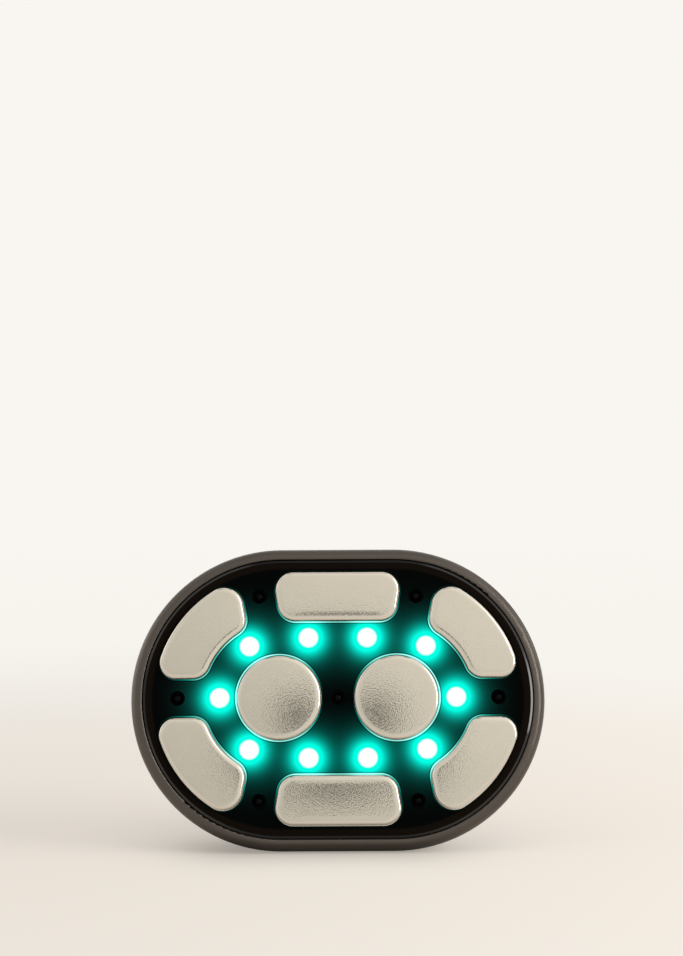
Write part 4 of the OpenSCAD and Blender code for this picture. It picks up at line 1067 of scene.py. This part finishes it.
class Piece:
    """A new piece of the device, built in the frame of the face and put in place at the end.

    Args:
        name: Its name in the scene.
    """

    def __init__(self, name: str) -> None:
        """Starts an empty mesh."""
        self.name = name
        self.mesh = bmesh.new()

    def finish(
        self,
        finishes: Sequence[Finishes],
        slot: str,
        replaced: Sequence[str],
        body: str = "body",
        sharp: float = 32,
    ) -> None:
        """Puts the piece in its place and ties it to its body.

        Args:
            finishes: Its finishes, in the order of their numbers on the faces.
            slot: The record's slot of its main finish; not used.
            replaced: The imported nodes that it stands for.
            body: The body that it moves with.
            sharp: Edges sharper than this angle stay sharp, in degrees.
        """
        bmesh.ops.recalc_face_normals(self.mesh, faces=self.mesh.faces)
        place = Matrix.Translation(face_origin()) @ TURN @ Matrix.Scale(MM, 4)
        bmesh.ops.transform(self.mesh, matrix=place, verts=self.mesh.verts)
        data = bpy.data.meshes.new(self.name)
        self.mesh.to_mesh(data)
        self.mesh.free()
        data.shade_smooth()
        data.set_sharp_from_angle(angle=math.radians(sharp))
        made = bpy.data.objects.new(self.name, data)
        bpy.context.scene.collection.objects.link(made)
        for finish in finishes:
            data.materials.append(finish.value.material())
        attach(made, body)
        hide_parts(*replaced)
        LOG.info("%s: %d faces on %s", self.name, len(data.polygons), body)


@dataclass(frozen=True)
class Pads:
    """The eight metal pads: a crowned face with a rounded edge, a flange and a stud behind."""

    proud: float = 1.3
    edge_r: float = 1.3
    edge_tilts: Point = (52.0, 3.5)
    edge_steps: int = 9
    roll_w: float = 0.7
    roll_steps: int = 4
    crown_r: float = 620.0
    facet: float = 2.6
    flange_w: float = 0.9
    flange_front: float = -2.0
    flange_back: float = -3.2
    stud_r: float = 2.5
    stud_end: float = -5.7
    stud_sides: int = 32
    corner_stud: Point = (40.55, 17.62)
    round_bow: Point = (1.0, 1.0)
    bar_bow: Point = (0.1, 1.2)
    corner_bow: Point = (0.7, 0.7)
    flat: float = 1e-4

    def build(self) -> None:
        """Builds the pads one after the other."""
        signs = {-1: "left", 1: "right"}
        rows = {-1: "bottom", 1: "top"}
        for side, word in signs.items():
            self.pad(f"round_pad_{word}", LAYOUT.round_pad(side), (side * LAYOUT.round_x, 0),
                     f"electrode_round_{word}", self.round_bow)
        middle = (LAYOUT.bar_in_y + LAYOUT.bar_out_y) / 2
        for row, word in rows.items():
            self.pad(f"bar_pad_{word}", LAYOUT.bar_pad(row), (0, row * middle),
                     f"electrode_bar_{word}", self.bar_bow)
        x, y = self.corner_stud
        for row, level in rows.items():
            for side, word in signs.items():
                self.pad(f"corner_pad_{level}_{word}", LAYOUT.corner_pad(side, row),
                         (side * x, row * y), f"electrode_corner_{level}_{word}",
                         self.corner_bow)

    def pad(self, name: str, outline: Outline, stud: Point, node: str, bow: Point) -> None:
        """Builds one pad.

        Args:
            name: Name of the piece.
            outline: Its outline.
            stud: Where its stud stands.
            node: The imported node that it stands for.
            bow: Share of the crown along X and Y.
        """
        piece = Piece(name)
        rings = [
            (self.flange_w, self.flange_back, 0),
            (self.flange_w, self.flange_front, 0),
            (0.0, self.flange_front, 0),
            *((-inset, self.proud - drop, inset) for inset, drop in self.edge()),
        ]
        loops, _ = outline.shell(piece.mesh, rings)
        for loop in (loops[0], loops[-1]):
            bmesh.ops.triangle_fill(piece.mesh, use_beauty=True, edges=loop)
        self.crown(piece.mesh, bow)
        depth = self.flange_back - self.stud_end
        middle = Matrix.Translation((*stud, self.stud_end + depth / 2))
        bmesh.ops.create_cone(piece.mesh, cap_ends=True, segments=self.stud_sides, depth=depth,
                              radius1=self.stud_r, radius2=self.stud_r, matrix=middle)
        piece.finish([Finishes.ELECTRODE_METAL], "electrode_metal", [node])

    def edge(self) -> list[Point]:
        """Rings of the edge: a rounding that rolls off onto the face.

        Returns:
            Inset and drop of each ring.
        """
        steep, flat = (math.radians(tilt) for tilt in self.edge_tilts)
        roll = self.roll_w * math.tan(flat) / 2
        rings = []
        for k in range(self.edge_steps + 1):
            tilt = steep + (flat - steep) * k / self.edge_steps
            drop = self.edge_r * (math.cos(flat) - math.cos(tilt))
            rings.append((self.edge_r * (math.sin(steep) - math.sin(tilt)), drop + roll))
        start = rings[-1][0]
        for k in range(1, self.roll_steps + 1):
            share = k / self.roll_steps
            rings.append((start + share * self.roll_w, roll * (1 - share) ** 2))
        return rings

    def crown(self, mesh: bmesh.types.BMesh, bow: Point) -> None:
        """Cuts the flat front of a pad into facets and domes it.

        Args:
            mesh: The pad without its stud.
            bow: Share of the crown along X and Y.
        """
        shoulder = self.proud - self.edge()[0][1] - self.flat
        rim = [vert for vert in mesh.verts if abs(vert.co.z - shoulder - self.flat) < self.flat]
        spans = [(min(vert.co[axis] for vert in rim), max(vert.co[axis] for vert in rim))
                 for axis in (0, 1)]
        for axis, (low, high) in enumerate(spans):
            count = round((high - low) / self.facet)
            across = Vector([float(axis == k) for k in range(3)])
            for k in range(1, count):
                faces = [face for face in mesh.faces
                         if min(vert.co.z for vert in face.verts) > self.proud - self.flat]
                parts = {part for face in faces for part in (*face.verts, *face.edges)}
                bmesh.ops.bisect_plane(mesh, geom=[*faces, *parts], plane_no=across,
                                       plane_co=across * (low + (high - low) * k / count))
        middle = Vector([sum(span) / 2 for span in spans])
        front = [vert for vert in mesh.verts if vert.co.z > shoulder]
        drops = [self.drop(vert.co.xy - middle, bow) for vert in front]
        least = min(drop for vert, drop in zip(front, drops) if vert in rim)
        for vert, drop in zip(front, drops):
            vert.co.z += least - drop

    def drop(self, away: Vector, bow: Point) -> float:
        """How much lower the crowned front is at a distance from its middle."""
        return (away.x**2 * bow[0] + away.y**2 * bow[1]) / 2 / self.crown_r


@dataclass(frozen=True)
class Plate:
    """The smoked plate with its cut-outs and recesses."""

    thickness: float = 1.8
    radius: float = 40.05
    chamfer: float = 0.3
    chamfer_w: float = 0.6
    clear: float = 0.15
    bevel: float = 0.4
    inner_land: float = 0.9
    land: float = 1.3
    recess_bevel: float = 0.3
    recess_marks: Point = (1.05, 1.1)
    recess_step: float = 6.0
    sharp: float = 25.0

    def build(self) -> None:
        """Builds the plate, ring by ring as Outline.shell takes them."""
        piece = Piece("smoked_faceplate")
        back = -self.thickness
        outer = racetrack(LAYOUT.half_straight, self.radius)
        loops, steps = outer.shell(piece.mesh, [
            (0.0, back, self.land), (0.0, -self.chamfer, self.land),
            (-self.chamfer_w, 0.0, self.land),
        ])
        for face in steps[-1]:
            face.material_index = 1
        fronts, backs = [*loops[-1]], [*loops[0]]
        for outline in self.cutouts():
            rings = [
                (self.clear, back, 0.0), (self.clear, -self.bevel, 0.0),
                *((self.clear + inset, 0.0, inset)
                  for inset in (self.bevel, self.inner_land, self.land)),
            ]
            loops, _ = outline.shell(piece.mesh, rings)
            backs += loops[0]
            fronts += loops[-1]
        bevel, (wall, lip) = self.recess_bevel, self.recess_marks
        for centre in LAYOUT.emitters:
            rings = [(0.0, back, wall), (0.0, -bevel, wall), (bevel, 0.0, lip),
                     (bevel * 2, 0.0, self.land)]
            loops, _ = circle(centre, LAYOUT.recess_r, self.recess_step).shell(piece.mesh, rings)
            backs += loops[0]
            fronts += loops[-1]
        for loop in (fronts, backs):
            bmesh.ops.triangle_fill(piece.mesh, use_beauty=True, edges=loop)
        finishes = [Finishes.SMOKED_PLATE, Finishes.PLATE_EDGE]
        piece.finish(finishes, "smoked_plate", ["faceplate"], sharp=self.sharp)

    @staticmethod
    def cutouts() -> list[Outline]:
        """Cut-outs of the pads.

        Returns:
            Their outlines.
        """
        return [
            *(LAYOUT.round_pad(side) for side in BOTH),
            *(LAYOUT.bar_pad(row) for row in BOTH),
            *(LAYOUT.corner_pad(side, row) for side in BOTH for row in BOTH),
        ]


@dataclass(frozen=True)
class Softbox:
    """A rectangular lamp that faces the device and lights it without mirroring in it."""

    name: str
    place: Triple
    size: Point
    radiance: float
    colour: Colour = (1.0, 0.975, 0.94)
    target: Triple = (0.0, 0.0, 0.04)

    def build(self) -> None:
        """Places the lamp, hidden from the camera itself."""
        lamp = bpy.data.lights.new(self.name, "AREA")
        lamp.shape = "RECTANGLE"
        lamp.size, lamp.size_y = self.size
        lamp.energy = self.radiance * math.pi * self.size[0] * self.size[1]
        lamp.color = self.colour
        made = bpy.data.objects.new(self.name, lamp)
        made.visible_camera = False
        made.visible_glossy = False
        made.location = self.place
        made.rotation_mode = "QUATERNION"
        toward = Vector(self.target) - Vector(self.place)
        made.rotation_quaternion = toward.to_track_quat("-Z", "Y")
        bpy.context.scene.collection.objects.link(made)


@dataclass(frozen=True)
class Patch:
    """A soft-edged patch of the mirrored room, bounded along the axes of the direction.

    Two bounds are a ramp, three a band and its softness, and none leaves the axis free.
    """

    gain: float = 1.0
    x: Sequence[float] = ()
    y: Sequence[float] = ()
    z: Sequence[float] = ()

    def seen(self, axes: Sequence[Value]) -> Value:
        """How strong the patch is in a direction.

        Args:
            axes: The three parts of the direction.

        Returns:
            The mask of the patch times its gain.
        """
        masks = [axis.ramp(*bounds) if len(bounds) == 2 else axis.band(*bounds)
                 for axis, bounds in zip(axes, (self.x, self.y, self.z)) if bounds]
        return reduce(Value.__mul__, masks) * self.gain


@dataclass(frozen=True)
class Room:
    """Pale room. What mirrors it sees tall windows, dark screens and a dark spot.

    The spot is behind the camera. Its rise, and the angles where it begins and is full, are in
    degrees.
    """

    background: Colour = srgb(249, 246, 241)
    ambient: float = 0.45
    spot_rise: float = 16.0
    spot_angles: Point = (2.4, 0.9)
    spot_depth: float = 0.72
    slope_x: Point = (-0.12, 0.12)
    slope_x_gain: float = 0.2
    slope_z: Point = (0.2, 0.4)
    slope_z_gain: float = 0.15
    windows: tuple[Patch, ...] = (
        Patch(7.5, x=(0.3, 0.5), y=(-0.54, -0.45, 0.04), z=(0.0, 0.5, 0.3)),
        Patch(0.3, x=(-0.6, -0.9)),
        Patch(2.2, x=(-0.5, 0.12, 0.2), y=(0.7, 0.85), z=(0.12, 0.42, 0.16)),
        Patch(1.6, y=(0.3, 0.45, 0.14), z=(0.12, 0.42, 0.16)),
    )
    screens: tuple[Patch, ...] = (
        Patch(x=(-0.3, -0.5), y=(-0.54, -0.45, 0.04)),
        Patch(z=(0.945, 0.972, 0.012)),
        Patch(x=(0.9, 0.96)),
    )
    screen_depth: float = 0.65
    behind: Patch = Patch(0.5, y=(0.05, 0.3), z=(0.8, 0.5))

    def build(self) -> None:
        """Builds the world."""
        world = bpy.data.worlds.new("studio")
        bpy.context.scene.world = world
        graph = Graph(world)
        sight = graph.add("ShaderNodeTexCoord", output="Generated")
        path = graph.add("ShaderNodeLightPath").socket.node
        camera, glossy, clear = (Value(graph, path.outputs[f"Is {ray} Ray"])
                                 for ray in ("Camera", "Glossy", "Transmission"))
        mirrored = glossy.most(clear)
        strength = (1 - mirrored) * self.ambient + mirrored * self.pattern(graph, sight)
        inputs = {"Color": self.background, "Strength": strength * (1 - camera) + camera}
        shader = graph.add("ShaderNodeBackground", {}, inputs)
        graph.add("ShaderNodeOutputWorld", {}, {"Surface": shader})

    def pattern(self, graph: Graph, sight: Value) -> Value:
        """Brightness of the room as it is mirrored.

        Args:
            graph: The world's graph.
            sight: The direction.

        Returns:
            The brightness.
        """
        axes = sight.axes()
        rise = math.radians(self.spot_rise)
        inputs = {0: sight, 1: (0.0, -math.cos(rise), math.sin(rise))}
        toward = graph.add("ShaderNodeVectorMath", {"operation": "DOT_PRODUCT"}, inputs, "Value")
        spot = toward.ramp(*(math.cos(math.radians(angle)) for angle in self.spot_angles))
        slope = (axes[0].ramp(*self.slope_x).swing(self.slope_x_gain)
                 + axes[2].ramp(*self.slope_z).swing(self.slope_z_gain))
        windows, screens = (total(patch.seen(axes) for patch in patches)
                            for patches in (self.windows, self.screens))
        dark = (1 - spot * self.spot_depth) * (1 - screens.least(1.0) * self.screen_depth)
        return dark * (slope + 1) * (1 - self.behind.seen(axes)) + windows


@dataclass(frozen=True)
class Floor:
    """Paper floor that fades into the background with distance.

    Lengths are in metres. A painted contact shade darkens the floor near the device's foot,
    more so in a mirror.
    """

    radius: float = 8.0
    sides: int = 96
    paper: Colour = (0.78, 0.735, 0.68)
    fibres: Pattern = Pattern(900, 3)
    fibre_tone: float = 0.985
    roughness: float = 0.9
    specular: float = 0.1
    near: Colour = (0.84, 0.775, 0.694)
    far: Colour = Room.background
    fades: tuple[tuple[Point, float], ...] = (((0.0, 0.55), 0.88), ((0.3, 2.5), 0.12))
    foot: Point = (-0.005, -0.015)
    foot_half: float = 0.021
    shade_r: float = 0.02
    shade_depth: float = 0.45
    mirror_r: float = 0.017
    mirror_depth: float = 0.95
    side_range: Point = (-0.15, 0.15)
    painted_side_gains: Point = (-0.03, 0.06)
    painted_side_reach: Point = (0.8, 0.1)
    glow_shares: Point = (0.7, 1.0)
    glow_range: Point = (0.1, 0.8)

    def build(self) -> None:
        """Builds the floor."""
        mesh = bmesh.new()
        bmesh.ops.create_circle(mesh, cap_ends=True, segments=self.sides, radius=self.radius)
        data = bpy.data.meshes.new("studio_floor")
        mesh.to_mesh(data)
        mesh.free()
        floor = bpy.data.objects.new("studio_floor", data)
        bpy.context.scene.collection.objects.link(floor)
        data.materials.append(self.material())

    def material(self) -> bpy.types.Material:
        """Paper that glows as bright as the background where it is far away.

        Returns:
            The material.
        """
        made = bpy.data.materials.new("paper_floor")
        graph = Graph(made)
        place = graph.add("ShaderNodeTexCoord", output="Object")
        away = graph.add("ShaderNodeVectorMath", {"operation": "LENGTH"}, {0: place}, "Value")
        dark = tuple(c * self.fibre_tone for c in self.paper)
        inputs = {
            "Base Color": graph.mix(graph.noise(place, self.fibres), dark, self.paper),
            "Roughness": self.roughness,
            "Specular IOR Level": self.specular,
        }
        paper = graph.add("ShaderNodeBsdfPrincipled", {}, inputs)
        fade = total(away.ramp(*bounds) * gain for bounds, gain in self.fades)
        far = graph.mix(fade, self.near, self.far)
        x, y, _ = place.axes()
        # Painted light: the glow is brighter towards +X and darker towards -X near the device,
        # evening out with distance.
        low, high = self.painted_side_gains
        side = (x.ramp(*self.side_range) * (high - low) + low) * away.ramp(*self.painted_side_reach)
        strength = self.shade(graph, x, y) * (side + 1)
        glow = graph.add("ShaderNodeEmission", {}, {"Color": far, "Strength": strength})
        low, high = self.glow_shares
        share = low + away.ramp(*self.glow_range) * (high - low)
        both = graph.add("ShaderNodeMixShader", {}, {0: share, 1: paper, 2: glow})
        graph.add("ShaderNodeOutputMaterial", {}, {"Surface": both})
        return made

    def shade(self, graph: Graph, x: Value, y: Value) -> Value:
        """Painted contact shade round the foot of the device, deeper for mirrored rays.

        Args:
            graph: The material's graph.
            x: Place along X.
            y: Place along Y.

        Returns:
            The share of light that is left.
        """
        beside = ((x - self.foot[0]).size() - self.foot_half).most(0.0)
        before = y - self.foot[1]
        near = beside * beside + before * before
        path = graph.add("ShaderNodeLightPath").socket.node
        mirrored = Value(graph, path.outputs["Is Glossy Ray"])
        # Painted shade, deeper in glossy rays so that mirrors see a darker foot.
        direct, mirror = (near.decay(1 / r**2) for r in (self.shade_r, self.mirror_r))
        return (1 - direct * self.shade_depth) * (1 - mirror * mirrored * self.mirror_depth)


@dataclass(frozen=True)
class Studio:
    """Camera, lamps, room and floor. Angles are in degrees."""

    camera: Triple = (0.00004, -0.6, 0.1102)
    pitch: float = 0.304
    yaw: float = -0.127
    roll: float = -0.291
    focal_pixels: float = 2030.0
    long_side: int = 956
    sensor: float = 36.0
    clip: Point = (0.01, 50.0)
    room: Room = Room()
    floor: Floor = Floor()
    softboxes: tuple[Softbox, ...] = (
        Softbox("softbox_key", (1.1, -0.3, 0.42), (0.9, 0.8), 9.0, (1.0, 0.99, 0.97)),
        Softbox("softbox_fill", (-1.1, -0.45, 0.5), (0.7, 0.8), 1.2),
        Softbox("softbox_top", (0.0, -0.1, 1.15), (1.1, 0.8), 1.2),
    )

    def build(self) -> None:
        """Builds the whole studio."""
        self.build_camera()
        for part in (self.room, self.floor, *self.softboxes):
            part.build()
        bpy.context.scene.view_settings.view_transform = "Standard"

    def build_camera(self) -> None:
        """Camera at the photograph's place and angle."""
        data = bpy.data.cameras.new("camera")
        data.sensor_fit = "AUTO"
        data.sensor_width = self.sensor
        data.lens = self.focal_pixels * self.sensor / self.long_side
        data.clip_start, data.clip_end = self.clip
        made = bpy.data.objects.new("camera", data)
        bpy.context.scene.collection.objects.link(made)
        yaw, pitch, roll = (math.radians(a) for a in (self.yaw, 90 - self.pitch, self.roll))
        turn = (Matrix.Rotation(yaw, 4, "Z") @ Matrix.Rotation(pitch, 4, "X")
                @ Matrix.Rotation(roll, 4, "Z"))
        made.matrix_world = Matrix.Translation(self.camera) @ turn
        bpy.context.scene.camera = made


@dataclass(frozen=True)
class Device:
    """The whole device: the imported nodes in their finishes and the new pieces."""

    plate: Plate = Plate()
    pads: Pads = Pads()

    def dress(self) -> None:
        """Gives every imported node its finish."""
        for name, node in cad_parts.items():
            slot = node.material_slots[0].material.name
            finish = NODE_FINISHES.get(name) or Finishes[slot.upper()]
            for place in node.material_slots:
                place.material = finish.value.material()
            LOG.info("%s: %s", name, finish.value.name)

    def build(self) -> None:
        """Dresses the nodes and builds the pieces."""
        self.dress()
        self.plate.build()
        self.pads.build()


def main() -> None:
    """Builds the studio and the device."""
    logging.basicConfig(level=logging.INFO, format="%(name)s: %(message)s")
    Studio().build()
    Device().build()


if __name__ == "__main__":
    main()
